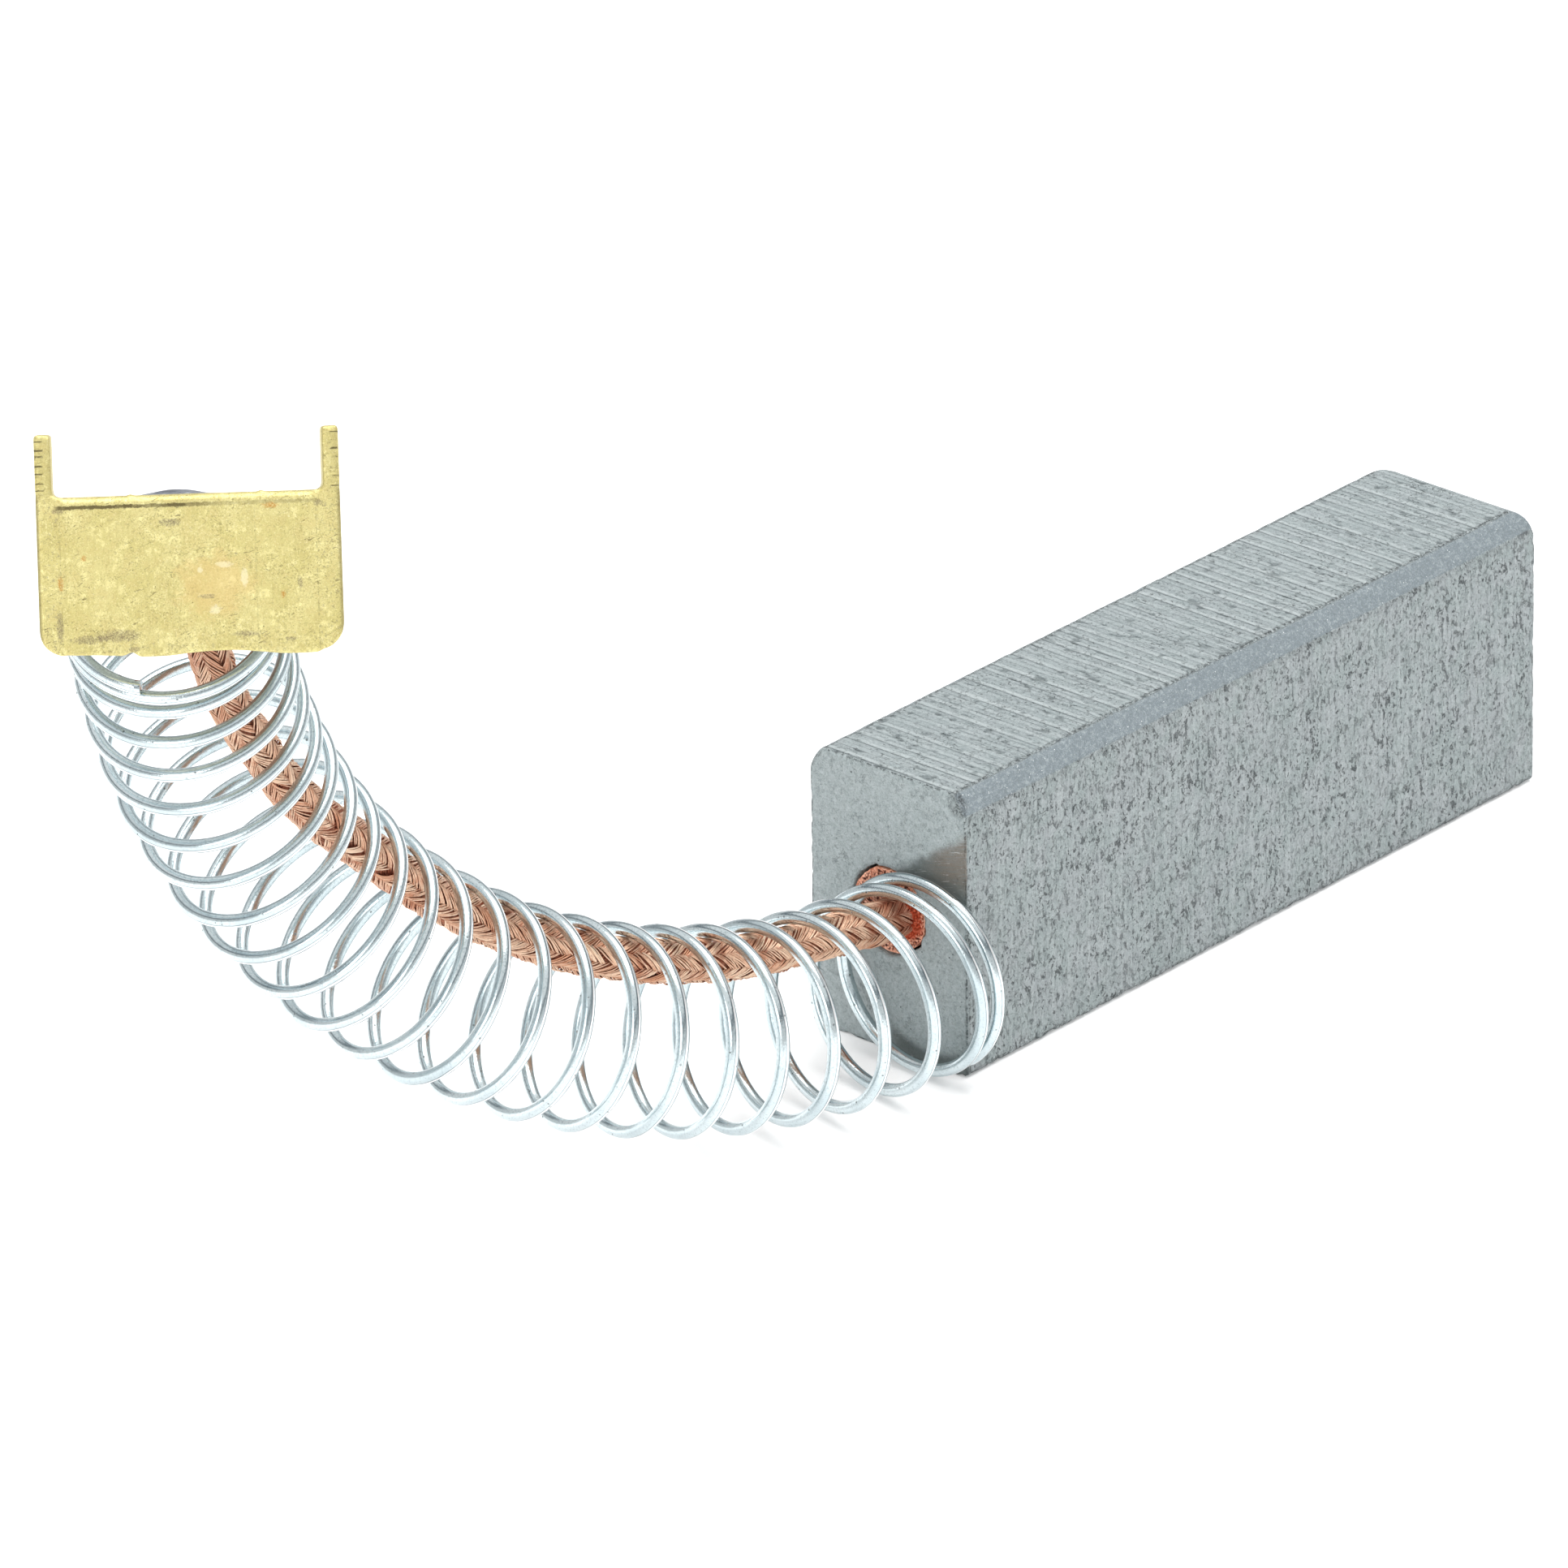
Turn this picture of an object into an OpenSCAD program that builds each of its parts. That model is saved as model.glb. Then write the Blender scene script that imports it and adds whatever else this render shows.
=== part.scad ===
// Carbon brush for an electric motor: a graphite block, a braided copper
// shunt tamped into its rear face, a round-wire spring round the shunt and a
// folded brass terminal on the free end.
//
// Frame: X runs along the block toward the running face, Y across it, Z up.
// The origin is the middle of the block's underside. Lengths are millimetres.

/* [Carbon block] */
// Length from the rear face to the running face
block_len = 29; // [22:0.5:36]
// Thickness between the two side faces
block_w = 6.6; // [6.2:0.1:9]
// Height between the underside and the top
block_h = 10; // [8.5:0.5:14]
// Width of the two long top bevels on the top face
bevel_top = 0.55; // [0.2:0.05:1]
// Drop of the two long top bevels on the side faces
bevel_side = 0.8; // [0.2:0.05:1.5]
// Bevel of the two long bottom edges
bevel_foot = 0.25; // [0.1:0.05:0.6]
// Radius that rounds the top edge of the running face
nose_r = 0.9; // [0.3:0.1:3]

/* [Tamped plug] */
// Diameter of the blind hole in the rear face and of the plug that fills it
plug_d = 3.1; // [2.6:0.1:4]
// Depth of the hole down to its drill point
plug_depth = 7; // [5.5:0.5:9]
// Included angle of the drill point
drill_angle = 118; // [90:1:140]

/* [Shunt] */
// Diameter of the braid
shunt_d = 1.4; // [1:0.1:1.8]
// Length of braid inside the plug
shunt_in = 5; // [3:0.5:5]

/* [Spring] */
// Wire diameter
wire_d = 0.44; // [0.3:0.02:0.5]
// Outside diameter of the coil
coil_od = 6.85; // [6.4:0.05:7.4]
// Number of turns, closed ones included
turns = 23.96; // [18:0.01:26]
// Closed turns at the block
closed_rear = 1; // [0.5:0.1:2]
// Closed turns at the terminal
closed_tip = 1.7; // [0.5:0.1:2.5]
// How far the free end of the coil lies behind its first turn
reach_back = 31.75; // [28:0.25:34]
// How far the free end lies to the side of the first turn
reach_side = 2.3; // [0:0.1:4]
// How far the free end rises above the first turn
reach_up = 23.7; // [18:0.1:27]
// Angle round the coil at which the wire starts
wire_start = 215; // [0:1:359]
// Share by which the open pitch narrows toward the terminal
narrowing = 0.37; // [0:0.01:0.6]
// Gap between neighbouring closed turns
closed_gap = 0.03; // [0.02:0.01:0.1]
// Gap between the end turns and what they lean on
seat_gap = 0.03; // [0.02:0.01:0.1]

/* [Terminal] */
// Width over the two ears
term_w = 9.15; // [8:0.05:11]
// Depth of the web and of the ears
term_depth = 6.4; // [5:0.1:8]
// Thickness of the brass sheet
sheet = 0.5; // [0.3:0.05:0.8]
// Height of the ears above the web
ear_h = 1.9; // [1:0.1:4]
// Length of the skirt below the top of the web
skirt_h = 4.8; // [3:0.05:6]
// Inside bend radius between the web and the ears
bend_r = 0.2; // [0.1:0.05:0.6]
// Radius along the folded front edge of the web
edge_r = 0.25; // [0.1:0.05:0.3]
// Radius of the two lower corners of the skirt
corner_r = 0.8; // [0.2:0.1:2]
// Distance of the shunt's hole from the middle of the web
hole_side = 0.4; // [0:0.1:1.5]
// Play of the braid in its hole, all round
hole_play = 0.1; // [0.05:0.05:0.3]
// Turn of the hanging terminal about the vertical
term_turn = -45.9; // [-60:0.1:-30]
// Lean of the hanging terminal about its own width
term_lean = -24.3; // [-35:0.1:-10]

/* [Solder] */
// Width that the solder dome covers beyond the hole's edge
solder_rim = 0.35; // [0.2:0.05:0.8]
// Height of the solder dome
solder_h = 0.15; // [0.1:0.05:0.8]

/* [Hidden] */
$fn = 96;

wire_r = wire_d / 2;
coil_r = coil_od / 2 - wire_r;
rear_x = -block_len / 2;
mouth = [rear_x, 0, block_h / 2];
drill_len = plug_d / 2 / tan(drill_angle / 2);
hole_d = shunt_d + 2 * hole_play;

// Where the braid leaves the plug, sideways and upward from its middle.
root_y = -0.3;
root_z = -0.1;
root_play = 0.02;
// Length of straight braid outside the plug.
root_straight = 0.3;

// Route of the braid, measured from the middle of the coil's first turn. It
// leans on the upper inside of the coil before it rises to the terminal.
shunt_route = [
  [-3.4, 1.4, 2.0], [-7.3, 1.4, 2.8], [-11.7, 1.9, 4.2], [-15.9, 2.7, 6.3],
  [-19.5, 3.1, 8.9], [-22.6, 3.0, 11.7], [-25.8, 2.8, 14.7], [-28.4, 2.9, 18.5],
  [-30.1, 2.8, 22.4]
];
// Length of braid that stands square to the web before it enters the hole.
shunt_rise = 1.3;
// Gap between the end of the braid and the solder over it.
end_gap = 0.12;
shunt_sides = 8;
shunt_steps = 3;

// Middle line of the coil. It leaves the rear face square, sags, and swings
// up to the terminal. The bow and the tip are measured from its first point.
coil_side = -1.7;
coil_floor_gap = 0.05;
coil_leave = [2.8, 14.1];
coil_bow = [-22.95, 5.8, 3.9];
coil_tip = [-reach_back, reach_side, reach_up];
coil_arrive = [10.7, 6];
tip_rise = 63.2;
tip_swing = -16.2;
// Width of the blend between closed and open turns, in turns.
blend = 0.7;
rings_per_turn = 20;
wire_sides = 8;
line_steps = 200;

// Discs that shape the solder dome.
solder_layers = 4;

// Middle of the web, sideways and back from the middle of the last turn.
web_shift = [0.62, 0.37];

// One point of a Bezier curve.
function bezier(p, t) = len(p) == 1 ? p[0] :
  bezier([for (i = [0 : len(p) - 2]) p[i] * (1 - t) + p[i + 1] * t], t);

// Running total of a list.
function sums(v) = [for (i = 0, s = 0; i < len(v); s = s + v[i], i = i + 1) s + v[i]];

function unit(v) = v / norm(v);
function ramp(x) = let (k = min(max(x, 0), 1)) k * k * (3 - 2 * k);

// Control points of the coil's middle line.
coil_dir = [-cos(tip_rise) * cos(tip_swing), sin(tip_swing), sin(tip_rise) * cos(tip_swing)];
coil_root = [rear_x - wire_r - seat_gap, coil_side, coil_od / 2 + coil_floor_gap];
coil_end = coil_root + coil_tip;
coil_poles = concat(
  [coil_root],
  [for (d = coil_leave) coil_root - [d, 0, 0]],
  [coil_root + coil_bow],
  [for (d = coil_arrive) coil_end - d * coil_dir],
  [coil_end]
);

// Length along the middle line against the curve's parameter.
line = [for (i = [0 : line_steps]) bezier(coil_poles, i / line_steps)];
line_sums = sums([for (i = [1 : line_steps]) norm(line[i] - line[i - 1])]);
line_table = concat([[0, 0]], [for (i = [1 : line_steps]) [line_sums[i - 1], i / line_steps]]);
line_len = line_sums[line_steps - 1];

// Distance along the middle line against the number of turns wound: closed
// turns advance by one wire, and open ones share out what is left.
ring_count = round(turns * rings_per_turn);
closed_pitch = wire_d + closed_gap;
function wound(i) = turns * i / ring_count;
function openness(u) = ramp((u - closed_rear) / blend + 0.5)
  * ramp((turns - closed_tip - u) / blend + 0.5)
  * (1 - narrowing * pow(u / turns, 4));
open_sums = sums([for (i = [1 : ring_count]) openness(wound(i - 0.5))]);
open_total = open_sums[ring_count - 1];
open_len = line_len - closed_pitch * turns;
function advance(i) = (i == 0 ? 0 : open_sums[i - 1]) * open_len / open_total
  + closed_pitch * wound(i);

// Middle of the wire after i rings, and the direction outward from the coil.
function coil_frame(i) =
  let (
    t = lookup(advance(i), line_table),
    h = 0.5 / line_steps,
    along = unit(bezier(coil_poles, t + h) - bezier(coil_poles, t - h)),
    side = unit(cross([0, 1, 0], along)),
    up = cross(along, side),
    angle = 360 * wound(i) + wire_start,
    out = cos(angle) * side + sin(angle) * up
  ) [bezier(coil_poles, t) + coil_r * out, out];
coil_frames = [for (i = [0 : ring_count]) coil_frame(i)];
wire_line = [for (f = coil_frames) f[0]];

// Direction of travel at point i of a list of points.
function travel(p, i) = unit(p[min(i + 1, len(p) - 1)] - p[max(i - 1, 0)]);

// One ring of points of radius r round point i, with its first point at `out`.
function ring(p, i, out, r, sides) =
  let (along = travel(p, i), side = unit(cross(along, out)), up = cross(side, along))
  [for (k = [0 : sides - 1]) p[i] + r * (cos(360 * k / sides) * up + sin(360 * k / sides) * side)];

// A closed tube through rings of points.
module tube(rings) {
  n = len(rings[0]);
  last = len(rings) - 1;
  polyhedron(
    points = [for (r = rings) for (p = r) p],
    faces = concat(
      [[for (k = [0 : n - 1]) k]],
      [for (i = [0 : last - 1]) for (k = [0 : n - 1])
        [i * n + k, (i + 1) * n + k, (i + 1) * n + (k + 1) % n, i * n + (k + 1) % n]],
      [[for (k = [n - 1 : -1 : 0]) last * n + k]]
    )
  );
}

// Directions of the terminal: along its width, back from its skirt, and up
// from its web. Its web rests on the highest wire of the spring.
term_x = [cos(term_turn), sin(term_turn), 0];
term_up = [sin(term_turn) * sin(term_lean), -cos(term_turn) * sin(term_lean), cos(term_lean)];
term_y = cross(term_up, term_x);
web_rest = max([for (p = wire_line) p * term_up]) + wire_r + seat_gap + sheet;
web_mid = coil_end + web_shift[0] * term_x + web_shift[1] * term_y;
web_at = web_mid + (web_rest - web_mid * term_up) * term_up;
hole_at = web_at - hole_side * term_x;

// Curve through a list of points that passes through each of them.
function through(p, i, t) =
  let (a = p[i - 1], b = p[i], c = p[i + 1], d = p[i + 2])
  0.5 * (2 * b + (c - a) * t + (2 * a - 5 * b + 4 * c - d) * t * t
    + (3 * b - a - 3 * c + d) * t * t * t);
shunt_root = mouth + [0, root_y, root_z];
shunt_end = hole_at - end_gap * term_up;
shunt_points = concat(
  [shunt_root + [shunt_in, 0, 0], shunt_root - [root_straight, 0, 0]],
  [for (p = shunt_route) coil_root + p],
  [shunt_end - shunt_rise * term_up, shunt_end, shunt_end + term_up]
);
shunt_line = concat(
  [shunt_points[0]],
  [for (i = [1 : len(shunt_points) - 3]) for (k = [0 : shunt_steps - 1])
    through(shunt_points, i, k / shunt_steps)],
  [shunt_end]
);

module block_section() {
  half = block_w / 2;
  polygon([
    [-half + bevel_foot, 0], [half - bevel_foot, 0],
    [half, bevel_foot], [half, block_h - bevel_side],
    [half - bevel_top, block_h], [-half + bevel_top, block_h],
    [-half, block_h - bevel_side], [-half, bevel_foot]
  ]);
}

// What a round of radius r takes off a square corner at the origin.
module corner_waste(r) {
  difference() {
    translate([-r, -r]) square(2 * r);
    translate([-r, -r]) circle(r);
  }
}

module carbon_block() {
  color([0.50, 0.54, 0.58])
  difference() {
    rotate([90, 0, 90]) linear_extrude(block_len, center = true) block_section();
    translate([block_len / 2, 0, block_h]) rotate([90, 0, 0])
      linear_extrude(2 * block_w, center = true) corner_waste(nose_r);
    translate(mouth) rotate([0, 90, 0]) plug_form(1);
  }
}

// The drilled hole from its mouth upward, started `early` below the mouth.
module plug_form(early) {
  translate([0, 0, -early]) cylinder(d = plug_d, h = plug_depth + early);
  translate([0, 0, plug_depth]) cylinder(d1 = plug_d, d2 = 0, h = drill_len);
}

module copper_plug() {
  color([0.62, 0.36, 0.24])
  difference() {
    translate(mouth) rotate([0, 90, 0]) plug_form(0);
    translate(shunt_root - [1, 0, 0]) rotate([0, 90, 0])
      cylinder(d = shunt_d + 2 * root_play, h = shunt_in + 1);
  }
}

module shunt() {
  color([0.80, 0.50, 0.36])
  tube([for (i = [0 : len(shunt_line) - 1])
    ring(shunt_line, i, cross([0, 1, 0], travel(shunt_line, i)), shunt_d / 2, shunt_sides)]);
}

module spring() {
  color([0.80, 0.84, 0.86])
  tube([for (i = [0 : ring_count]) ring(wire_line, i, coil_frames[i][1], wire_r, wire_sides)]);
}

// Half of the upturned channel that makes the web and one ear.
module half_channel() {
  bend_out = bend_r + sheet;
  translate([0, -sheet]) square([term_w / 2 - bend_out, sheet]);
  translate([term_w / 2 - sheet, bend_r]) square([sheet, ear_h - bend_r]);
  translate([term_w / 2 - bend_out, bend_r])
    intersection() {
      difference() {
        circle(bend_out);
        circle(bend_r);
      }
      translate([0, -bend_out]) square(bend_out);
    }
}

module skirt_plate() {
  difference() {
    translate([-term_w / 2, -skirt_h]) square([term_w, skirt_h]);
    for (s = [-1, 1])
      translate([s * term_w / 2, -skirt_h]) scale([s, -1]) corner_waste(corner_r);
  }
}

// The terminal as it is folded, with the top of its web on z = 0.
module folded_sheet() {
  front = -term_depth / 2;
  difference() {
    union() {
      rotate([90, 0, 0]) linear_extrude(term_depth, center = true) {
        half_channel();
        mirror([1, 0]) half_channel();
      }
      translate([0, front + sheet, 0]) rotate([90, 0, 0]) linear_extrude(sheet) skirt_plate();
    }
    translate([0, front, 0]) rotate([90, 0, -90])
      linear_extrude(term_w - 2 * sheet - 2 * bend_r, center = true) corner_waste(edge_r);
    translate([-hole_side, 0, -2 * sheet]) cylinder(d = hole_d, h = 3 * sheet);
  }
}

module hang() {
  translate(web_at) rotate([0, 0, term_turn]) rotate([term_lean, 0, 0]) children();
}

module terminal() {
  color([0.85, 0.76, 0.44]) hang() folded_sheet();
}

// A shallow dome, as a stack of thin discs on a ball's outline.
module solder() {
  rim = hole_d / 2 + solder_rim;
  ball = (rim * rim + solder_h * solder_h) / (2 * solder_h);
  rise = solder_h / solder_layers;
  color([0.62, 0.64, 0.66]) hang() translate([-hole_side, 0, 0])
  hull() for (k = [0 : solder_layers - 1])
    translate([0, 0, k * rise])
      cylinder(r = sqrt(ball * ball - pow(ball - solder_h + k * rise, 2)), h = rise / 2, $fn = 32);
}

carbon_block();
copper_plug();
shunt();
spring();
terminal();
solder();
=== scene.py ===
# %% [markdown]
# A carbon brush carries current to the turning part of a small motor. Its carbon block
# wears down against the motor, and a spring keeps pushing it forward. This lesson dresses
# the solid model of one brush: a block of ground carbon, a copper braid tamped into its
# rear face, a long bent spring round the braid, and a folded brass terminal. The solid
# model gives the frame and the places, and each piece below is a finer surface that
# takes the place of one solid.

# %% The frame
import itertools
import bpy
import numpy as np
from mathutils import Matrix, Vector


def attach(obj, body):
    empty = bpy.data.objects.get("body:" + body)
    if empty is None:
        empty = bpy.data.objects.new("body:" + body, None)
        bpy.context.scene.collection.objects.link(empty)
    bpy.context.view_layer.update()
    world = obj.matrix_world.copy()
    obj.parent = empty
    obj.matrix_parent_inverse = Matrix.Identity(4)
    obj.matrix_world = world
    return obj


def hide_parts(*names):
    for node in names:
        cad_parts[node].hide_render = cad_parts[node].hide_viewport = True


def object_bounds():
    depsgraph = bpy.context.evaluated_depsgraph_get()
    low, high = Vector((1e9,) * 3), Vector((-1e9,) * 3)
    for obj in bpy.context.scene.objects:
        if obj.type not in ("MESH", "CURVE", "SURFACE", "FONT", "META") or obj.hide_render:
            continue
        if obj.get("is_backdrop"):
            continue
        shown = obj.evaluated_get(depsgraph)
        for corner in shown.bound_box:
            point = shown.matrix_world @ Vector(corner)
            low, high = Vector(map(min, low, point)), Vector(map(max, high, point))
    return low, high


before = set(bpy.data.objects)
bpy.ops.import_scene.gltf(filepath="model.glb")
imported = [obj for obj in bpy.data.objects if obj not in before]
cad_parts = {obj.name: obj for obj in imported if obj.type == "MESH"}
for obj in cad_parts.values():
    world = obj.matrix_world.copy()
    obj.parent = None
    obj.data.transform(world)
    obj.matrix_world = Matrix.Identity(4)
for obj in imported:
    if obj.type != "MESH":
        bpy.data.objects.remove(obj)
cad_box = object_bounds()
print("solids:", ", ".join(sorted(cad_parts)))

# %% [markdown]
# The camera comes first, because every choice of detail depends on how large it looks.
# It is a long lens from the rear left, 25 degrees above the bench. Its place and its
# three directions were found by laying the block's corners and the spring's arcs over the
# photograph. All sizes in this lesson are in millimetres, and are turned into metres
# only where a mesh or the camera is made.

# %% The camera
MM = 0.001
LENS = 357.94
SENSOR = 36.0
CLIP_NEAR, CLIP_FAR = 0.05, 20
CAMERA_AT = (-353.587, -297.806, 224.376)
CAMERA_RIGHT = (0.66016, -0.75099, -0.01443)
CAMERA_UP = (0.33143, 0.27399, 0.90282)
CAMERA_BACK = (-0.67406, -0.60078, 0.42978)


def make_camera():
    """Places the camera by its three directions, which are the columns of its matrix."""
    camera = bpy.data.cameras.new("camera")
    camera.lens = LENS
    camera.sensor_width = SENSOR
    camera.clip_start = CLIP_NEAR
    camera.clip_end = CLIP_FAR
    stand = bpy.data.objects.new("camera", camera)
    turn = Matrix((CAMERA_RIGHT, CAMERA_UP, CAMERA_BACK)).transposed()
    stand.matrix_world = Matrix.Translation(Vector(CAMERA_AT) * MM) @ turn.to_4x4()
    bpy.context.scene.collection.objects.link(stand)
    bpy.context.scene.camera = stand


make_camera()
print("camera:", CAMERA_AT)

# %% [markdown]
# The braid is a soft part with a fixed length, so its route is settled before its shape.
# It leaves the plug, leans on the upper inside of the coil, and rises to the terminal.
# The solid model has the same points, measured from the middle of the coil's first turn.

# %% Driving sizes and the route of the braid
BLOCK = np.array([29.0, 6.6, 10.0])
BEVEL_TOP, BEVEL_SIDE, BEVEL_FOOT = 0.55, 0.8, 0.12
NOSE_R = 0.9
PLUG_D, PLUG_DEPTH, DRILL_LEN = 3.1, 7.0, 0.93
SHUNT_D = 1.4
WIRE_D, COIL_OD, TURNS = 0.44, 6.85, 23.96
SEAT_GAP = 0.03
COIL_SIDE, COIL_LIFT = -1.7, 0.05
SHUNT_SHIFT = (0, -0.3, -0.1)

REAR_X = -BLOCK[0] / 2
COIL_R = (COIL_OD - WIRE_D) / 2
COIL_ROOT = np.array([REAR_X - WIRE_D / 2 - SEAT_GAP, COIL_SIDE, COIL_OD / 2 + COIL_LIFT])
PLUG_MOUTH = np.array([REAR_X, 0, BLOCK[2] / 2])
SHUNT_ROOT = PLUG_MOUTH + SHUNT_SHIFT
SHUNT_ROUTE = COIL_ROOT + np.array([
    [-3.4, 1.4, 2.0], [-7.3, 1.4, 2.8], [-11.7, 1.9, 4.2], [-15.9, 2.7, 6.3],
    [-19.5, 3.1, 8.9], [-22.6, 3.0, 11.7], [-25.8, 2.8, 14.7], [-28.4, 2.9, 18.5],
    [-30.1, 2.8, 22.4],
])
print("the braid's route passes through", len(SHUNT_ROUTE), "points between its ends")

# %% [markdown]
# Every piece starts as a numpy array of points on a grid. A few helpers turn such a grid
# into a Blender mesh: they list the faces between neighbouring rows, and hand points and
# faces to Blender in a few bulk calls, which is far faster than adding them one by one.
# Others measure along a line and turn directions, and a last pair gives smooth random
# numbers in space, for wear and grain.

# %% Points and directions
TURN = 2 * np.pi


def unit(v):
    """Each vector divided by its length."""
    return v / np.linalg.norm(v, axis=-1, keepdims=True)


def ramp(x):
    """Smooth step: 3x^2 - 2x^3 between 0 and 1."""
    k = np.clip(x, 0, 1)
    return k * k * (3 - 2 * k)


def joined(*parts):
    """Arrays as the parts of one array of points. Smaller arrays are repeated to fit."""
    return np.stack(np.broadcast_arrays(*parts), -1)


def circle(angle):
    """Points of a circle round Z, at these angles, one unit from it."""
    return joined(np.cos(angle), np.sin(angle), 0)


def swung(angle, first, second):
    """The first direction, turned by an angle towards the second."""
    return np.cos(angle)[..., None] * first + np.sin(angle)[..., None] * second


def square_to(along):
    """Two directions square to a line and to each other. The first is square to Y too."""
    side = unit(np.cross([0.0, 1.0, 0.0], along))
    return side, np.cross(along, side)


def reach_along(line):
    """How far each point lies from the first one, measured along the line."""
    return np.concatenate([[0], np.cumsum(np.linalg.norm(np.diff(line, axis=0), axis=1))])


def at_reach(places, reach, line):
    """Points of a line at these distances along it."""
    return joined(*(np.interp(places, reach, part) for part in line.T))


print("ramp at 0, 0.25 and 0.5:", ramp(np.array([0, 0.25, 0.5])))

# %% From arrays to meshes
def band_faces(rows, columns, closed=True):
    """Faces of a grid of points: each joins a point, the next in its row, and the two
    above them. A closed grid joins the last column to the first."""
    row = np.arange(rows - 1)[:, None] * columns
    column = np.arange(columns if closed else columns - 1)[None, :]
    here, after = row + column, row + (column + 1) % columns
    return joined(here, after, after + columns, here + columns).reshape(-1, 4)


def fan_faces(columns, middle, first=0, flip=False):
    """Three-sided faces from one ring of points to a middle point."""
    ring = np.arange(columns)
    faces = joined(ring + first, (ring + 1) % columns + first, middle)
    return faces[:, ::-1] if flip else faces


def skin_faces(rows, columns):
    """Faces of a closed skin of rings, with a fan at each end. The two middle points of
    the fans come after the points of the rings."""
    count = rows * columns
    return [
        band_faces(rows, columns),
        fan_faces(columns, count, flip=True),
        fan_faces(columns, count + 1, first=count - columns),
    ]


def mesh_object(name, points, faces):
    """A Blender object from points in millimetres and a list of face arrays."""
    mesh = bpy.data.meshes.new(name)
    corners = np.concatenate([f.ravel() for f in faces]).astype(np.int32)
    counts = np.concatenate([np.full(len(f), f.shape[1]) for f in faces])
    starts = np.concatenate([[0], np.cumsum(counts)[:-1]]).astype(np.int32)
    mesh.vertices.add(len(points))
    mesh.vertices.foreach_set("co", (points * MM).astype(np.float32).ravel())
    mesh.loops.add(len(corners))
    mesh.polygons.add(len(counts))
    mesh.polygons.foreach_set("loop_start", starts)
    mesh.polygons.foreach_set("vertices", corners)
    mesh.polygons.foreach_set("use_smooth", np.ones(len(counts), dtype=bool))
    mesh.update(calc_edges=True)
    piece = bpy.data.objects.new(name, mesh)
    bpy.context.scene.collection.objects.link(piece)
    return piece


def skin_object(name, rings, ends=None):
    """A closed skin over rings of points, and its points. The fans at its ends meet in two
    more points, which are the middles of the first and the last ring unless given."""
    ends = [rings[0].mean(axis=0), rings[-1].mean(axis=0)] if ends is None else ends
    points = np.concatenate([rings.reshape(-1, 3), ends])
    return mesh_object(name, points, skin_faces(*rings.shape[:2])), points


def outward(piece):
    """The outward direction at each point of a mesh."""
    normals = np.empty(3 * len(piece.data.vertices), dtype=np.float32)
    piece.data.vertices.foreach_get("normal", normals)
    return normals.reshape(-1, 3).astype(float)


def reshape(piece, points):
    """Moves the points of a mesh, given in millimetres."""
    piece.data.vertices.foreach_set("co", (points * MM).astype(np.float32).ravel())
    piece.data.update()


def mark(piece, name, values):
    """Keeps one number, or one vector, for each point of a mesh, for its material to read."""
    kind = "FLOAT" if values.ndim == 1 else "FLOAT_VECTOR"
    field = "value" if values.ndim == 1 else "vector"
    attribute = piece.data.attributes.new(name, kind, "POINT")
    attribute.data.foreach_set(field, values.astype(np.float32).ravel())


def scatter(cell, seed):
    """A fixed random number from 0 to 1 for each lattice cell, by mixing its three counts."""
    mixed = cell[..., 0] * 73856093 ^ cell[..., 1] * 19349663 ^ cell[..., 2] * 83492791
    mixed = (mixed ^ (seed * 26543 + 977)) & 0xFFFFFF
    mixed = (mixed * 48271 + (mixed >> 11) * 7919) & 0xFFFFFF
    return ((mixed ^ (mixed >> 9)) & 0xFFFF) / 65535


def drift(points, size, seed):
    """Smooth random field from -1 to 1: random numbers on a lattice of the given size,
    blended between the eight corners of each cell."""
    place = points / size
    cell = np.floor(place).astype(np.int64)
    part = ramp(place - cell)
    total = 0
    for corner in itertools.product((0, 1), repeat=3):
        share = np.prod(np.where(corner, part, 1 - part), axis=-1)
        total = total + share * scatter(cell + corner, seed)
    return 2 * total - 1


def nearest_grain(points, size, seed):
    """Distance to the nearest of many scattered middles, one in each cell of a lattice, and
    a random number for that grain. Distances are in cells."""
    place = points / size
    cell = np.floor(place).astype(np.int64)
    nearest = np.full(place.shape[:-1], 9.0)
    grain = np.zeros(place.shape[:-1])
    for step in itertools.product((-1, 0, 1), repeat=3):
        other = cell + step
        middle = other + np.stack([scatter(other, seed + k) for k in range(3)], -1)
        distance = np.linalg.norm(place - middle, axis=-1)
        closer = distance < nearest
        nearest = np.where(closer, distance, nearest)
        grain = np.where(closer, scatter(other, seed + 7), grain)
    return nearest, grain


print("mesh helpers ready")

# %% [markdown]
# Materials are networks of nodes. Writing each link by hand hides the idea, so one small
# class wraps a socket, and sums, differences and products of such sockets add the Math
# nodes. Every other node comes from one method, which takes the node's type, the values
# of its sockets and its settings. A colour is built as a painter would: a ground, then
# coats, each with a mask that says where it shows.

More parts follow.
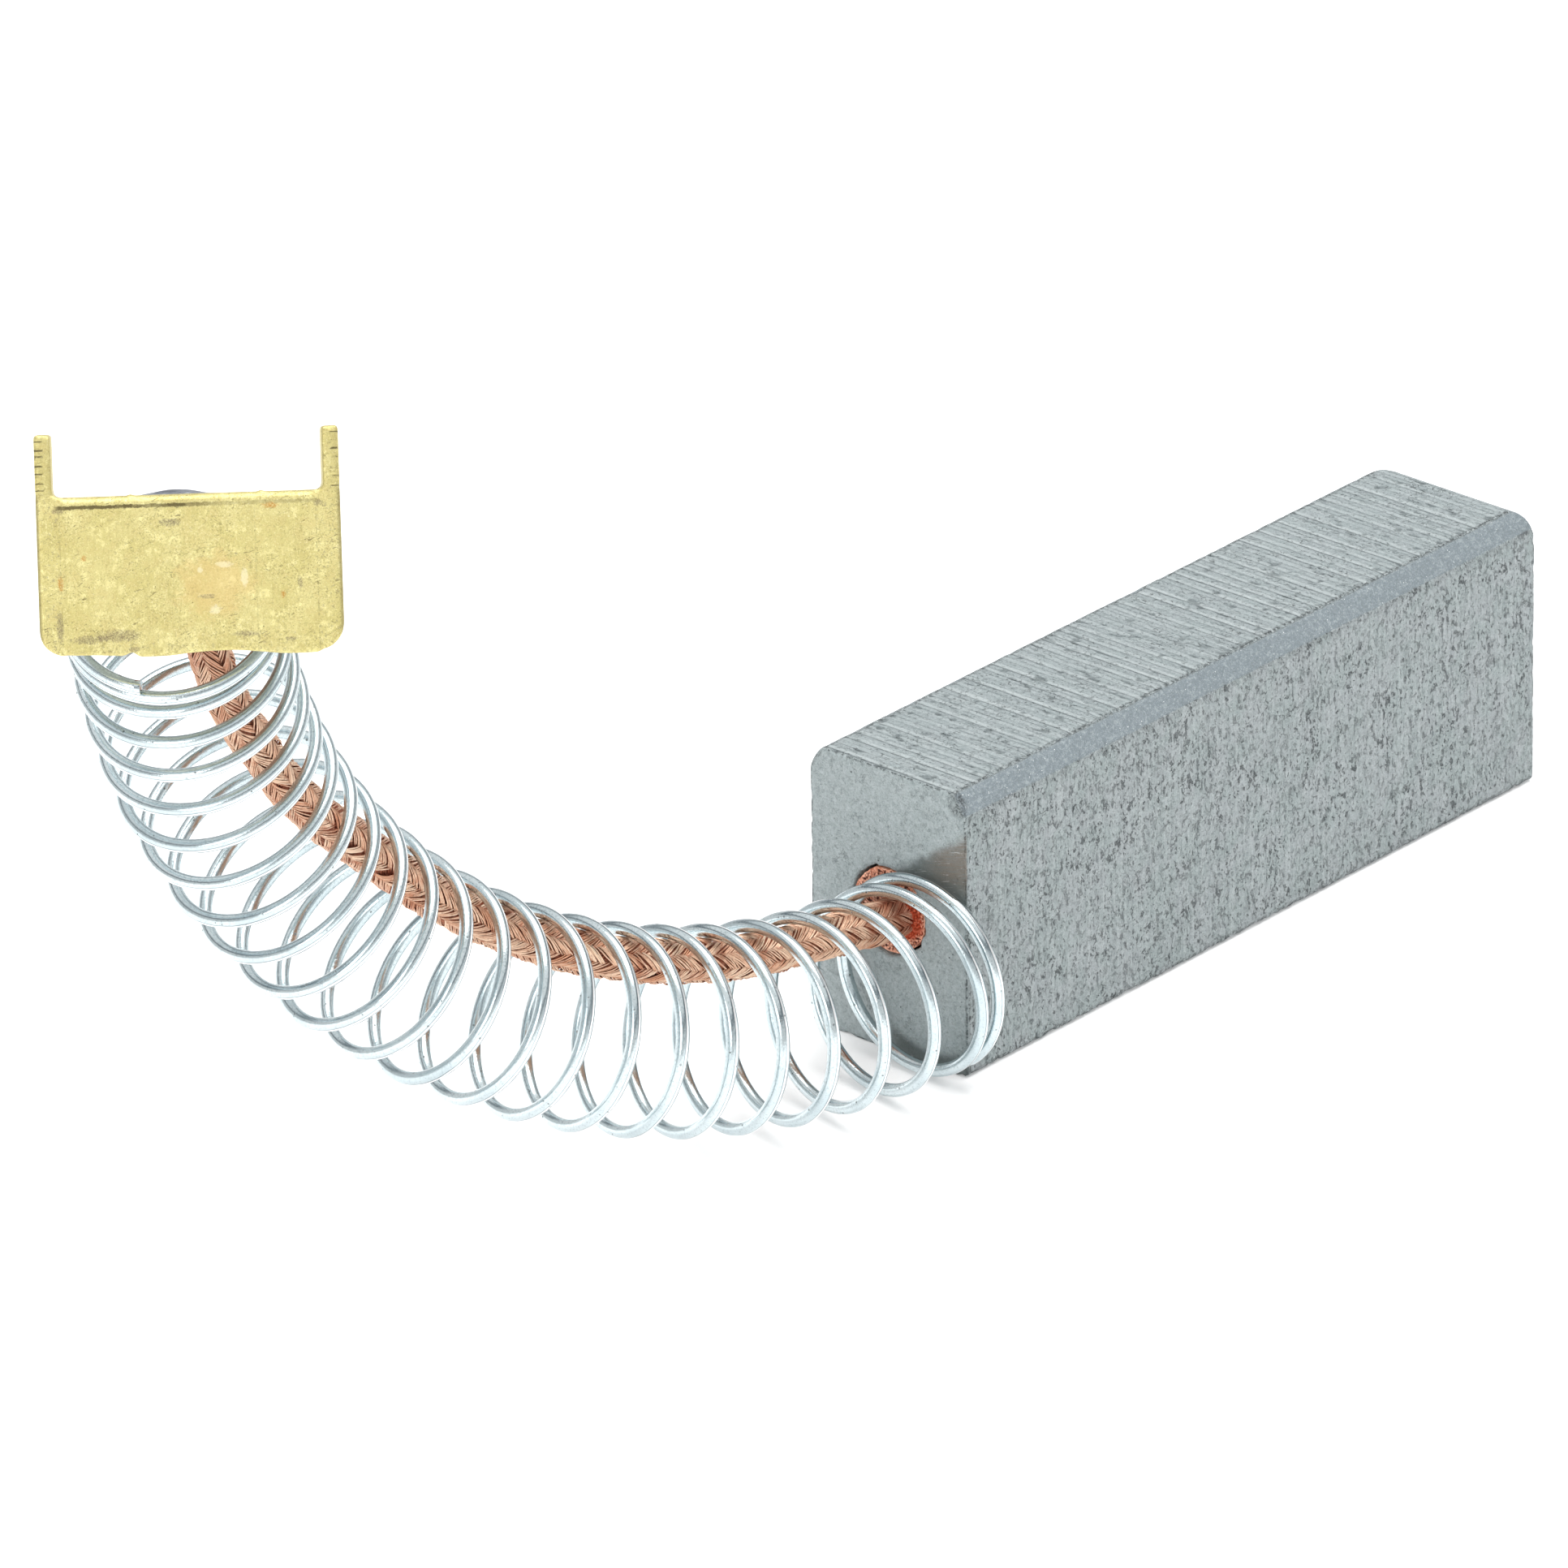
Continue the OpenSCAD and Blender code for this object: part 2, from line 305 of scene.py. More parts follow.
# %% Shader maths as expressions
class Flow:
    """One socket of a material's nodes. Python's operators on it add Math nodes."""

    def __init__(self, tree, socket=None):
        self.tree = tree
        self.socket = socket

    def node(self, kind, sockets, output=0, **settings):
        """Adds a node: its settings first, then each socket's value or link."""
        made = self.tree.nodes.new("ShaderNode" + kind)
        for name, value in settings.items():
            setattr(made, name, value)
        for name, value in sockets.items():
            if isinstance(value, Flow):
                self.tree.links.new(value.socket, made.inputs[name])
            else:
                made.inputs[name].default_value = value
        return Flow(self.tree, made.outputs[output] if len(made.outputs) else None)

    def maths(self, operation, first, second=0.0):
        return self.node("Math", {0: first, 1: second}, operation=operation)

    def __add__(self, other):
        return self.maths("ADD", self, other)

    def __sub__(self, other):
        return self.maths("SUBTRACT", self, other)

    def __rsub__(self, other):
        return self.maths("SUBTRACT", other, self)

    def __mul__(self, other):
        return self.maths("MULTIPLY", self, other)

    def __truediv__(self, other):
        return self.maths("DIVIDE", self, other)

    def __abs__(self):
        return self.maths("ABSOLUTE", self)

    __radd__ = __add__
    __rmul__ = __mul__

    def with_side(self, other):
        """The long side of a right triangle that has this value and another as short sides."""
        return self.maths("POWER", self * self + other * other, 0.5)

    def least(self, other):
        return self.maths("MINIMUM", self, other)

    def most(self, other):
        return self.maths("MAXIMUM", self, other)

    def step(self, low, high):
        """0 below low, 1 above high, and a smooth step between. It falls if low > high."""
        sockets = {"Value": self, "From Min": low, "From Max": high}
        return self.node("MapRange", sockets, interpolation_type="SMOOTHSTEP")

    def mix(self, first, second):
        """The first colour where this value is 0, and the second where it is 1."""
        return self.node("Mix", {0: self, 6: first, 7: second}, 2, data_type="RGBA")

    def scaled(self, x, y, z):
        """This vector with each part multiplied by its own number."""
        return self.node("VectorMath", {0: self, 1: (x, y, z)}, operation="MULTIPLY")

    def turned(self, axis, angle):
        """This vector turned about the X, Y or Z axis."""
        return self.node("VectorRotate", {"Vector": self, "Angle": angle}, rotation_type=axis + "_AXIS")

    def noise(self, size, detail=2.0, rough=0.5):
        """Cloudy noise from 0 to 1, with lumps of this size in millimetres."""
        sockets = {"Vector": self, "Scale": 1 / size, "Detail": detail, "Roughness": rough}
        return self.node("TexNoise", sockets)

    def cells(self, size):
        """Distance to the nearest of many scattered middles, this many millimetres apart."""
        return self.node("TexVoronoi", {"Vector": self, "Scale": 1 / size})


def linear(red, green, blue):
    """A colour, from 0 to 255, as the linear light that shaders use."""
    parts = np.array([red, green, blue]) / 255
    light = np.where(parts < 0.04045, parts / 12.92, ((parts + 0.055) / 1.055) ** 2.4)
    return (*(float(part) for part in light), 1.0)


def painted(colour, coats):
    """Lays coats on a colour, one after another. Each is a mask, 1 where the coat hides
    what lies below, and the coat's red, green and blue."""
    for mask, *shade in coats:
        colour = mask.mix(colour, linear(*shade))
    return colour


def new_finish(name):
    """An empty material, with its points in millimetres to start from."""
    material = bpy.data.materials.new(name)
    material.use_nodes = True
    tree = material.node_tree
    tree.nodes.clear()
    place = Flow(tree).node("TexCoord", {}, 3)
    return material, place.node("VectorMath", {0: place, 3: 1 / MM}, operation="SCALE")


def split(vector):
    """The x, y and z parts of a vector."""
    return [vector.node("SeparateXYZ", {0: vector}, output) for output in range(3)]


def carried(flow, name, output=2):
    """A number kept on the mesh under this name, or with output 1 a vector."""
    return flow.node("Attribute", {}, output, attribute_name=name)


def finish_surface(place, colour, roughness, height, depth, metallic=0.0, **constants):
    """Joins colour, roughness and relief to one shader. Height is in units of depth, which
    is in millimetres. Constants go straight on the shader's own sockets."""
    relief = place.node("Bump", {"Strength": 1.0, "Distance": depth * MM, "Height": height})
    sockets = {"Base Color": colour, "Roughness": roughness, "Metallic": metallic, "Normal": relief}
    shader = place.node("BsdfPrincipled", {**sockets, **constants})
    place.node("OutputMaterial", {"Surface": shader})


def dress(piece, material, node):
    """Gives a piece its material, and says what it rides on and what it replaces."""
    piece.data.materials.append(material)
    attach(piece, "root")
    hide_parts(node)
    print(piece.name, "has", len(piece.data.polygons), "faces")


print("shader helpers ready")

# %% [markdown]
# The carbon block is pressed from powder, baked, sawn and ground. Its section is a
# rectangle with two chamfers on top, carried along its length, with a round nose at the
# top of the running end and a drilled hole in the rear face. One closed skin of rings
# suits this: rings climb out of the hole, spread over the rear face, run along the body
# and close over the running face. The body's rings lie close together, because the
# saw's ridges cross its length.

# %% Rings of the carbon block
RING_POINTS = 208
BODY_RINGS, HOLE_RINGS, REAR_RINGS, NOSE_RINGS = 372, 12, 27, 23
DRILL_POINT = np.array([0.05, 0.5])
FACE_LEAST = 0.06


def block_outline():
    """The section's corners joined by straight edges, and points shared out along it: the
    place of a point is its distance round the outline."""
    half, height = BLOCK[1] / 2, BLOCK[2]
    corners = np.array([
        [-half + BEVEL_FOOT, 0], [half - BEVEL_FOOT, 0], [half, BEVEL_FOOT],
        [half, height - BEVEL_SIDE], [half - BEVEL_TOP, height],
        [-half + BEVEL_TOP, height], [-half, height - BEVEL_SIDE],
        [-half, BEVEL_FOOT], [-half + BEVEL_FOOT, 0],
    ])
    reach = reach_along(corners)
    return at_reach(np.linspace(0, reach[-1], RING_POINTS, endpoint=False), reach, corners)


def rings_at(x, section):
    """A ring of points for each x, with the y and z of its section."""
    return joined(x[:, None], section[..., 0], section[..., 1])


def block_rings():
    """All rings of the block's skin, from the drill point to the running face."""
    outline = block_outline()
    mouth = PLUG_MOUTH[1:]
    hole = mouth + PLUG_D / 2 * unit(outline - mouth)
    middle = outline.mean(axis=0)
    nose_x = BLOCK[0] / 2
    spread = np.linspace(0, 1, REAR_RINGS)[1:]
    shrink = np.linspace(1, FACE_LEAST, NOSE_RINGS)
    drill = rings_at(REAR_X + PLUG_DEPTH + DRILL_LEN * (1 - DRILL_POINT),
                     mouth + DRILL_POINT[:, None, None] * (hole - mouth))
    wall = rings_at(REAR_X + PLUG_DEPTH * np.linspace(1, 0, HOLE_RINGS), hole)
    rear = rings_at(REAR_X + 0 * spread, hole + (outline - hole) * spread[:, None, None])
    body = rings_at(REAR_X + BLOCK[0] * np.linspace(0, 1, BODY_RINGS)[1:-1], outline)
    face = rings_at(nose_x + 0 * shrink, middle + (outline - middle) * shrink[:, None, None])
    body = np.concatenate([body, face])
    over = np.clip(body[..., 0] - (nose_x - NOSE_R), 0, NOSE_R)
    roof = BLOCK[2] - NOSE_R + np.sqrt(NOSE_R ** 2 - over ** 2)
    body[..., 2] = np.minimum(body[..., 2], roof)
    return np.concatenate([drill, wall, rear, body])


carbon, carbon_points = skin_object("carbon_block_skin", block_rings())
print("block skin:", len(carbon_points), "points")

# %% [markdown]
# Ground carbon is never crisp. Its edges crumble, its saw ridges show across the top and
# more weakly on the sides, and grains pull out of it and leave pits. These are moved into
# the mesh along its outward direction, so they are real relief. How close a point is to
# an edge comes from the block's flat faces: the second smallest of its distances to them.

# %% Wear of the carbon block
EDGE_ROUND, EDGE_SHOWN, RIM_ROUND = 0.16, 0.14, 0.16
RIDGE_PITCH, RIDGE_DEPTH = 0.48, 0.055
FAR_BULGE = 0.09
BROKEN_CORNER = np.array([REAR_X, -BLOCK[1] / 2 + 0.3, BLOCK[2] - 0.35])
ROUNDED_CORNER = np.array([BLOCK[0] / 2, BLOCK[1] / 2 - 0.3, BLOCK[2] - 0.4])


def edge_distance(points):
    """Distance to the second nearest of the block's flat faces, so 0 on an edge."""
    half, height, reach = BLOCK[1] / 2, BLOCK[2], BLOCK[0] / 2
    x, y, z = points.T
    bevel = unit(np.array([BEVEL_SIDE, BEVEL_TOP]))
    foot = unit(np.array([1.0, 1.0]))
    gaps = np.stack([
        x + reach, reach - x, half - abs(y), z, height - z,
        bevel @ [half, height - BEVEL_SIDE] - bevel @ np.stack([abs(y), z]),
        foot @ [half, -BEVEL_FOOT] - foot @ np.stack([abs(y), -z]),
    ])
    return np.clip(np.sort(gaps, axis=0)[1], 0, None)


def ridges(points, top, chamfer, ends):
    """Saw ridges, deepest on top. Each pitch starts with a steep groove and climbs back
    along a square of the distance, and each groove has its own depth. Also gives the
    count of pitches along the block, for the material."""
    warp = 0.05 * drift(points * [1, 0.02, 0.02], 0.9, 11)
    warp = warp + 0.015 * drift(points * [1, 0.5, 0.5], 0.5, 13)
    phase = (points[:, 0] + warp) / RIDGE_PITCH
    number = np.floor(phase)
    part = phase - number
    own = scatter(joined(*[number.astype(int)] * 3), 4)
    groove = (np.clip(1 - part * 1.3, 0, 1) ** 2 * ramp(part / 0.12)) * (0.5 + 0.5 * own)
    return groove * np.select([ends, chamfer, top], [0, 0.05, 1.0], 0.3), phase


def wear_block():
    """Moves each point inward by the sum of edge wear, ridges and pits."""
    p = carbon_points
    x, y, z = p.T
    out = outward(carbon)
    slope = abs(out)
    chamfer = (slope[:, 1] > 0.3) & (out[:, 2] > 0.3)
    ends = slope[:, 0] > 0.5
    edge = edge_distance(p)
    from_hole = np.hypot(y, z - BLOCK[2] / 2)
    in_hole = (from_hole < PLUG_D / 2 + 0.01) & (x > REAR_X + 0.001)
    rim = abs(from_hole - PLUG_D / 2) + abs(x - REAR_X)
    crumb = np.clip(drift(p, 0.34, 5) + 0.6 * drift(p, 0.17, 9) - 0.1, 0, 1)
    round_off = ramp(1 - edge / EDGE_ROUND) * (0.022 + 0.014 * drift(p, 0.9, 3) + 0.07 * crumb)
    broken = ramp(1 - np.linalg.norm(p - BROKEN_CORNER, axis=1) / 0.75)
    broken = broken * (0.5 + 0.5 * drift(p, 0.2, 7))
    rounded = ramp(1 - np.linalg.norm((p - ROUNDED_CORNER) * [0.7, 1, 1], axis=1) / 0.9)
    groove, phase = ridges(p, out[:, 2] > 0.5, chamfer, ends)
    quiet = np.where(chamfer | ends, 0.25, 1)
    grain = 0.004 * drift(p, 0.16, 21) + 0.005 * drift(p * [2, 1, 1], 0.5, 23)
    pit = np.clip(drift(p * [1.5, 0.7, 0.7], 0.2, 31) - 0.55, 0, 1) * quiet
    depth = round_off + 0.09 * broken + 0.2 * rounded + RIDGE_DEPTH * groove + 0.12 * pit
    depth = depth + grain * quiet
    depth = np.where(in_hole, 0, depth) + 0.1 * ramp(1 - rim / RIM_ROUND) * crumb
    across_bevel = np.clip((z - BLOCK[2] + BEVEL_SIDE) / BEVEL_SIDE, 0, 1)
    far = chamfer & (y > 0) & (slope[:, 0] < 0.1)
    depth = depth - FAR_BULGE * np.where(far, 4 * across_bevel * (1 - across_bevel), 0)
    worn = p - out * depth[:, None]
    worn[:, 0] = np.minimum(worn[:, 0], BLOCK[0] / 2)
    reshape(carbon, worn)
    for name, values in (("edge", ramp(1 - edge / EDGE_SHOWN)), ("broken", broken),
                         ("phase", phase), ("pit", pit)):
        mark(carbon, name, values)
    print("deepest wear:", round(float(depth.max()), 3), "mm")


wear_block()

# %% [markdown]
# The carbon's finish is a pale grey graphite with a slight green cast. Fine streaks cross
# the length, as the ridges do, so one noise with a stretched coordinate serves the top
# and the sides alike. The chamfer is ground smoother and bluer, with tiny bright specks
# painted on as glints.
# The rear face is smooth too. Beside the braid a dark wedge of painted shadow spreads
# from the spring, darkest next to the coil, and the end turn rubbed it brown towards the
# near upper edge.

# %% Places on the carbon
def carbon_places(place, x, y, z):
    """Which face a point lies on: masks for the chamfers, the top and the two ends."""
    half, height = float(BLOCK[1] / 2), float(BLOCK[2])
    side_gap = half - abs(y)
    top_gap = height - z
    ragged = place.noise(0.12, 3, 0.7) * 0.05 - 0.025
    rear = (x - float(REAR_X)).step(0.12, 0.05)
    ends = rear.most((float(-REAR_X) - x).step(0.12, 0.05))
    chamfer = (side_gap.least(top_gap) + ragged).step(0.055, 0.075) * (1 - ends)
    chamfer = chamfer * (z + 2 * ragged).step(height - BEVEL_SIDE + 0.02, height - BEVEL_SIDE + 0.1)
    top = top_gap.step(0.12, 0.05) * (1 - ends)
    return chamfer, top, rear, ends


def carbon_pits(place, chamfer, top, ends):
    """Dark pits where grains pulled out: small ones in drifts, a few large ones, and fine
    round dots on the smooth ends. All but the dots are drawn out across the length, and
    lean a little on the sides."""
    drawn = place.turned("Y", 0.2).scaled(1.3, 0.85, 0.85)
    busy = place.noise(1.3, 3, 0.6).step(0.4, 0.62)
    columns = place.scaled(1.0, 0.12, 0.12).noise(0.16, 2, 0.6)
    fine = (drawn.noise(0.11, 4, 0.68) + 0.15 * columns).step(0.67, 0.74)
    middling = (drawn.noise(0.24, 5, 0.7) + 0.12 * columns).step(0.63, 0.69)
    large = (drawn.noise(0.44, 6, 0.75) + 0.08 * columns).step(0.68, 0.73)
    small_share = (0.25 + 0.55 * busy) * (1 - 0.2 * top)
    large_share = (0.35 + 0.65 * busy) * (1 - 0.85 * top)
    pits = (fine * small_share).most(middling * large_share).most(large * (1 - 0.75 * top))
    pits = pits * (1 - 0.9 * chamfer) * (1 - 0.75 * ends)
    dots = place.cells(0.24).step(0.16, 0.08) * place.noise(0.4, 3, 0.6).step(0.55, 0.64)
    return pits, dots * ends.most(top * 0.6)


def shadow_and_rub_wedge(place, y, z):
    """A wedge beside the braid, with the spring's painted shadow and the rub of its end turn:
    it opens from the top of the coil to the near edge, below a line that climbs towards
    that edge. Also the brown, rubbed part of it, and how near a point is to the coil, which
    deepens the painted shadow."""
    ragged = place.noise(0.5, 4, 0.65) * 0.7 - 0.35
    below = 6.83 - 0.67 * (y + 0.55) - z + ragged
    from_coil = (y - float(COIL_ROOT[1])).with_side(z - float(COIL_ROOT[2]))
    wedge = below.step(-0.15, 0.4) * from_coil.step(2.8, 3.2) * y.step(0.4, -0.5)
    brown = (z - 0.3 * ragged).step(6.2, 7.3) * y.step(-1.0, -2.6)
    return wedge, brown, from_coil.step(5.2, 3.3)


def saw_shading(phase, top):
    """A line of painted shade in each saw groove and a painted highlight on the ridge beside
    it. The whole part of the phase numbers the grooves, so each has its own strength."""
    part = phase.maths("FRACT", phase)
    number = phase.maths("FLOOR", phase)
    own = number.node("TexWhiteNoise", {"W": number}, noise_dimensions="1D")
    share = (0.25 + 0.75 * own) * (0.15 + 0.85 * top)
    dark = abs(part - 0.1).step(0.13, 0.02)
    between = abs(part - 0.6).step(0.08, 0.02) * (0.45 - 0.4 * own)
    bright = abs(part - 0.34).step(0.26, 0.06)
    return (dark * share).most(between * top), bright * share


def carbon_crumbs(place, z, ends):
    """Dark crumbled spots along the edges, and at the broken corner."""
    broken = carried(place, "broken")
    edge = carried(place, "edge").most(broken)
    border = (z - float(BLOCK[2] - BEVEL_SIDE)).step(-0.3, -0.1) * z.step(9.5, 9.3) * (1 - ends)
    crumbs = edge * edge * place.noise(0.12, 4, 0.8).step(0.5, 0.57) * (1 - 0.7 * border)
    return crumbs.most(broken.step(0.1, 0.4) * place.noise(0.09, 3, 0.8).step(0.44, 0.54))


print("masks for the carbon ready")

# %% The carbon finish
def carbon_finish():
    """Greys, streaks, pits, specks painted as glints, painted shade and highlight on the saw
    ridges, rubbed places, and the spring's painted shadow on the carbon block.
    """
    material, place = new_finish("carbon")
    x, y, z = split(place)
    chamfer, top, rear, ends = carbon_places(place, x, y, z)
    smooth_faces = ends.most(chamfer)
    rough_faces = (1 - ends) * (1 - chamfer)
    pits, dots = carbon_pits(place, chamfer, top, ends)
    streaks = place.scaled(1.0, 0.06, 0.06).noise(0.13, 4, 0.7)
    plates = place.turned("Y", 0.2).scaled(1.4, 0.8, 0.8).noise(0.26, 4, 0.7).step(0.56, 0.64)
    plates = plates * (1 - ends) * (1 - chamfer) * (1 - 0.7 * top)
    grain = place.noise(0.055, 3, 0.8)
    soft_grain = place.noise(0.13, 3, 0.7)
    smooth_mottle = place.noise(0.16, 4, 0.8)
    crumbs = carbon_crumbs(place, z, ends)
    groove, ridge_highlight = saw_shading(carried(place, "phase"), top)
    pit_shade = carried(place, "pit").step(0.02, 0.2)
    ridge_faces = rough_faces * (0.55 + 0.45 * soft_grain.step(0.6, 0.4))
    specks = place.cells(0.12).step(0.16, 0.1) * place.noise(0.3, 2, 0.6).step(0.56, 0.62)
    wedge, brown, close = shadow_and_rub_wedge(place, y, z)
    wedge = rear * wedge
    slanted = place.turned("X", 0.29)
    scratches = slanted.scaled(1.0, 0.05, 1.0).noise(0.05, 3, 0.7)
    lines = slanted.scaled(1.0, 0.08, 1.0).noise(0.06, 4, 0.7)
    light_lines = lines.step(0.6, 0.7) * (0.35 + 0.5 * wedge * brown)
    colour = place.noise(0.9, 3).step(0.35, 0.65).mix(linear(150, 161, 161), linear(158, 165, 167))
    colour = painted(colour, [
        (ends * 0.85, 164, 175, 176),
        (chamfer * 0.95, 119, 130, 136),
        (smooth_mottle.step(0.5, 0.62) * 0.35 * smooth_faces, 186, 194, 196),
        (smooth_mottle.step(0.48, 0.36) * 0.4 * smooth_faces, 112, 121, 123),
        (top * 0.6, 150, 160, 162),
        (streaks.step(0.48, 0.66) * 0.4 * rough_faces, 186, 194, 194),
        (streaks.step(0.46, 0.28) * 0.42 * rough_faces, 118, 128, 129),
        (plates * 0.24, 112, 122, 122),
        (soft_grain.step(0.5, 0.66) * 0.35 * (1 - 0.75 * chamfer), 188, 197, 197),
        (soft_grain.step(0.48, 0.34) * 0.3, 122, 131, 132),
        (grain.step(0.52, 0.72) * 0.4, 206, 212, 212),
        (grain.step(0.48, 0.3) * 0.5, 96, 105, 107),
        # Painted shade in the saw grooves, and a painted highlight on the ridges beside them.
        (groove * ridge_faces * 0.9, 92, 101, 104),
        (ridge_highlight * ridge_faces * 0.5, 208, 216, 216),
        (pits * (0.72 + 0.28 * grain.step(0.6, 0.4)), 72, 80, 82),
        # Painted shade in the shallow pits of the mesh.
        (pit_shade * 0.5, 70, 80, 82),
        (dots * 0.85, 48, 54, 56),
        (crumbs * 0.85, 56, 62, 64),
        # Tiny white specks painted as glints, mostly on the chamfer.
        (specks * (0.1 + 0.9 * chamfer), 250, 252, 252),
        # Painted shadow of the spring on the rear face, darkest next to the coil.
        (wedge * (0.35 + 0.5 * close), 72, 82, 80),
        (wedge * brown * (0.35 + 0.4 * scratches.step(0.35, 0.6)), 122, 108, 94),
        (rear * light_lines, 200, 206, 204),
        (rear * lines.step(0.36, 0.28) * 0.4, 110, 118, 119),
    ])
    relief = 0.3 * streaks + 0.45 * grain + 0.3 * soft_grain - 1.5 * pits - 0.8 * dots - crumbs
    relief = relief - 0.3 * plates
    relief = relief * (1 - 0.5 * smooth_faces)
    relief = relief + 0.5 * (ridge_highlight - groove) * rough_faces
    roughness = 0.52 + 0.15 * grain + 0.1 * pits - 0.12 * chamfer - 0.1 * wedge
    finish_surface(place, colour, roughness, relief, 0.08)
    return material


dress(carbon, carbon_finish(), "carbon_block")

# %% [markdown]
# The spring is one drawn wire. Its middle line is a Bezier curve that leaves the rear
# face square, sags, and swings up to the terminal. The wire winds round that line, at one
# wire's pitch in the closed end turns and wider between them. The formula gives a point
# for any number of turns wound, so the whole wire is one array, and a round profile is
# carried along it.

# %% The coil's formula
COIL_POLES = COIL_ROOT + np.array([[0, 0, 0], [-2.8, 0, 0], [-14.1, 0, 0], [-22.95, 5.8, 3.9]])
COIL_TIP = COIL_ROOT + [-31.75, 2.3, 23.7]
TIP_RISE, TIP_SWING = np.radians(63.2), np.radians(-16.2)
ARRIVE = (10.7, 6.0)
CLOSED_REAR, CLOSED_TIP, CLOSED_GAP, BLEND = 1.0, 1.7, 0.03, 0.7
NARROWING, NARROW_POWER = 0.37, 4
WIRE_START = np.radians(215)
RINGS_PER_TURN = 90
WIRE_SIDES = 16
LINE_STEPS = 400
SMALL = 0.001


def bezier(poles, t):
    """Bezier curve: neighbouring poles are blended by t until one point is left."""
    points = np.broadcast_to(poles[:, None, :], (len(poles), len(t), 3))
    while len(points) > 1:
        points = points[:-1] * (1 - t)[:, None] + points[1:] * t[:, None]
    return points[0]


def coil_wire():
    """The wire's middle line and its outward directions: a circle round the Bezier line,
    turned by the number of turns wound, at a distance along the line that grows by one
    wire for each closed turn and shares out the rest among the open ones."""
    cos_rise = np.cos(TIP_RISE)
    tip_way = np.array([-cos_rise * np.cos(TIP_SWING), np.sin(TIP_SWING),
                        np.sin(TIP_RISE) * np.cos(TIP_SWING)])
    poles = np.vstack([COIL_POLES, COIL_TIP - np.outer(ARRIVE, tip_way), COIL_TIP])
    steps = np.linspace(0, 1, LINE_STEPS + 1)
    reach = reach_along(bezier(poles, steps))
    wound = np.linspace(0, TURNS, round(TURNS * RINGS_PER_TURN) + 1)
    half_way = (wound[1:] + wound[:-1]) / 2
    openness = ramp((half_way - CLOSED_REAR) / BLEND + 0.5)
    openness = openness * ramp((TURNS - CLOSED_TIP - half_way) / BLEND + 0.5)
    openness = openness * (1 - NARROWING * (half_way / TURNS) ** NARROW_POWER)
    opened = np.concatenate([[0], np.cumsum(openness)])
    closed = (WIRE_D + CLOSED_GAP) * wound
    advance = opened * (reach[-1] - closed[-1]) / opened[-1] + closed
    t = np.interp(advance, reach, steps)
    along = unit(bezier(poles, t + SMALL) - bezier(poles, t - SMALL))
    out = swung(TURN * wound + WIRE_START, *square_to(along))
    return bezier(poles, t) + COIL_R * out, out


def round_profile(line, out, radius, sides):
    """A circle at each point of a line, square to the line, its first point towards out."""
    along = unit(np.gradient(line, axis=-2))
    side = unit(np.cross(along, out))
    up = np.cross(side, along)
    ring = swung(np.arange(sides) * TURN / sides, up[..., None, :], side[..., None, :])
    return line[..., None, :] + np.asarray(radius)[..., None, None] * ring


wire_line, wire_out = coil_wire()
print("wire length:", round(float(reach_along(wire_line)[-1])), "mm")

# %% [markdown]
# The wire's ends are sheared, not sawn: the blade drags a little of the wire with it. So
# the last rings lean, and a small burr stands up on one side. Handling marks are very
# slight waves of the wire's radius.

# %% The spring
SHEAR_LEAN, BURR = 0.105, 0.12
CAP_RINGS = np.array([0.55, 0.93])[:, None, None]


def wire_end(ring, way):
    """A sheared end: the ring leans along the wire on one side, with a small burr."""
    arm = ring - ring.mean(axis=0)
    lean = arm @ unit(arm[0]) / (WIRE_D / 2)
    burr = np.clip(-lean, 0, 1) ** 4
    return ring + way * (SHEAR_LEAN * lean + BURR * burr)[:, None] * WIRE_D


def make_spring():
    """Rings round the wire's line, with a cap of two smaller rings at each end. Each point
    keeps its place round the wire for the material."""
    radius = WIRE_D / 2 * (1 + 0.012 * drift(wire_line, 1.6, 41) + 0.006 * drift(wire_line, 0.3, 43))
    rings = round_profile(wire_line, wire_out, radius, WIRE_SIDES)
    for end, before in ((0, 1), (-1, -2)):
        rings[end] = wire_end(rings[end], unit(wire_line[end] - wire_line[before]))
    middles = [rings[0].mean(axis=0), rings[-1].mean(axis=0)]
    rings = np.concatenate([
        middles[0] + (rings[0] - middles[0]) * CAP_RINGS, rings,
        middles[1] + (rings[-1] - middles[1]) * CAP_RINGS[::-1],
    ])
    piece, _ = skin_object("spring_wire", rings, middles)
    turned = circle(np.arange(WIRE_SIDES) * TURN / WIRE_SIDES)
    mark(piece, "round", np.vstack([np.tile(turned, (len(rings), 1)), np.zeros((2, 3))]))
    return piece


spring = make_spring()
print("spring:", len(spring.data.vertices), "points")

# %% [markdown]
# The wire is bright drawn steel with a thin coat of tin. It is almost a mirror, so much
# of what it shows is the studio. Its own finish paints a highlight along the outside of
# each turn, a dark reflection line on each side of it and shade beyond one of them, and
# adds a few dull patches, dark specks and dents.

# %% The spring's finish
HIGHLIGHT_AT = 0.1


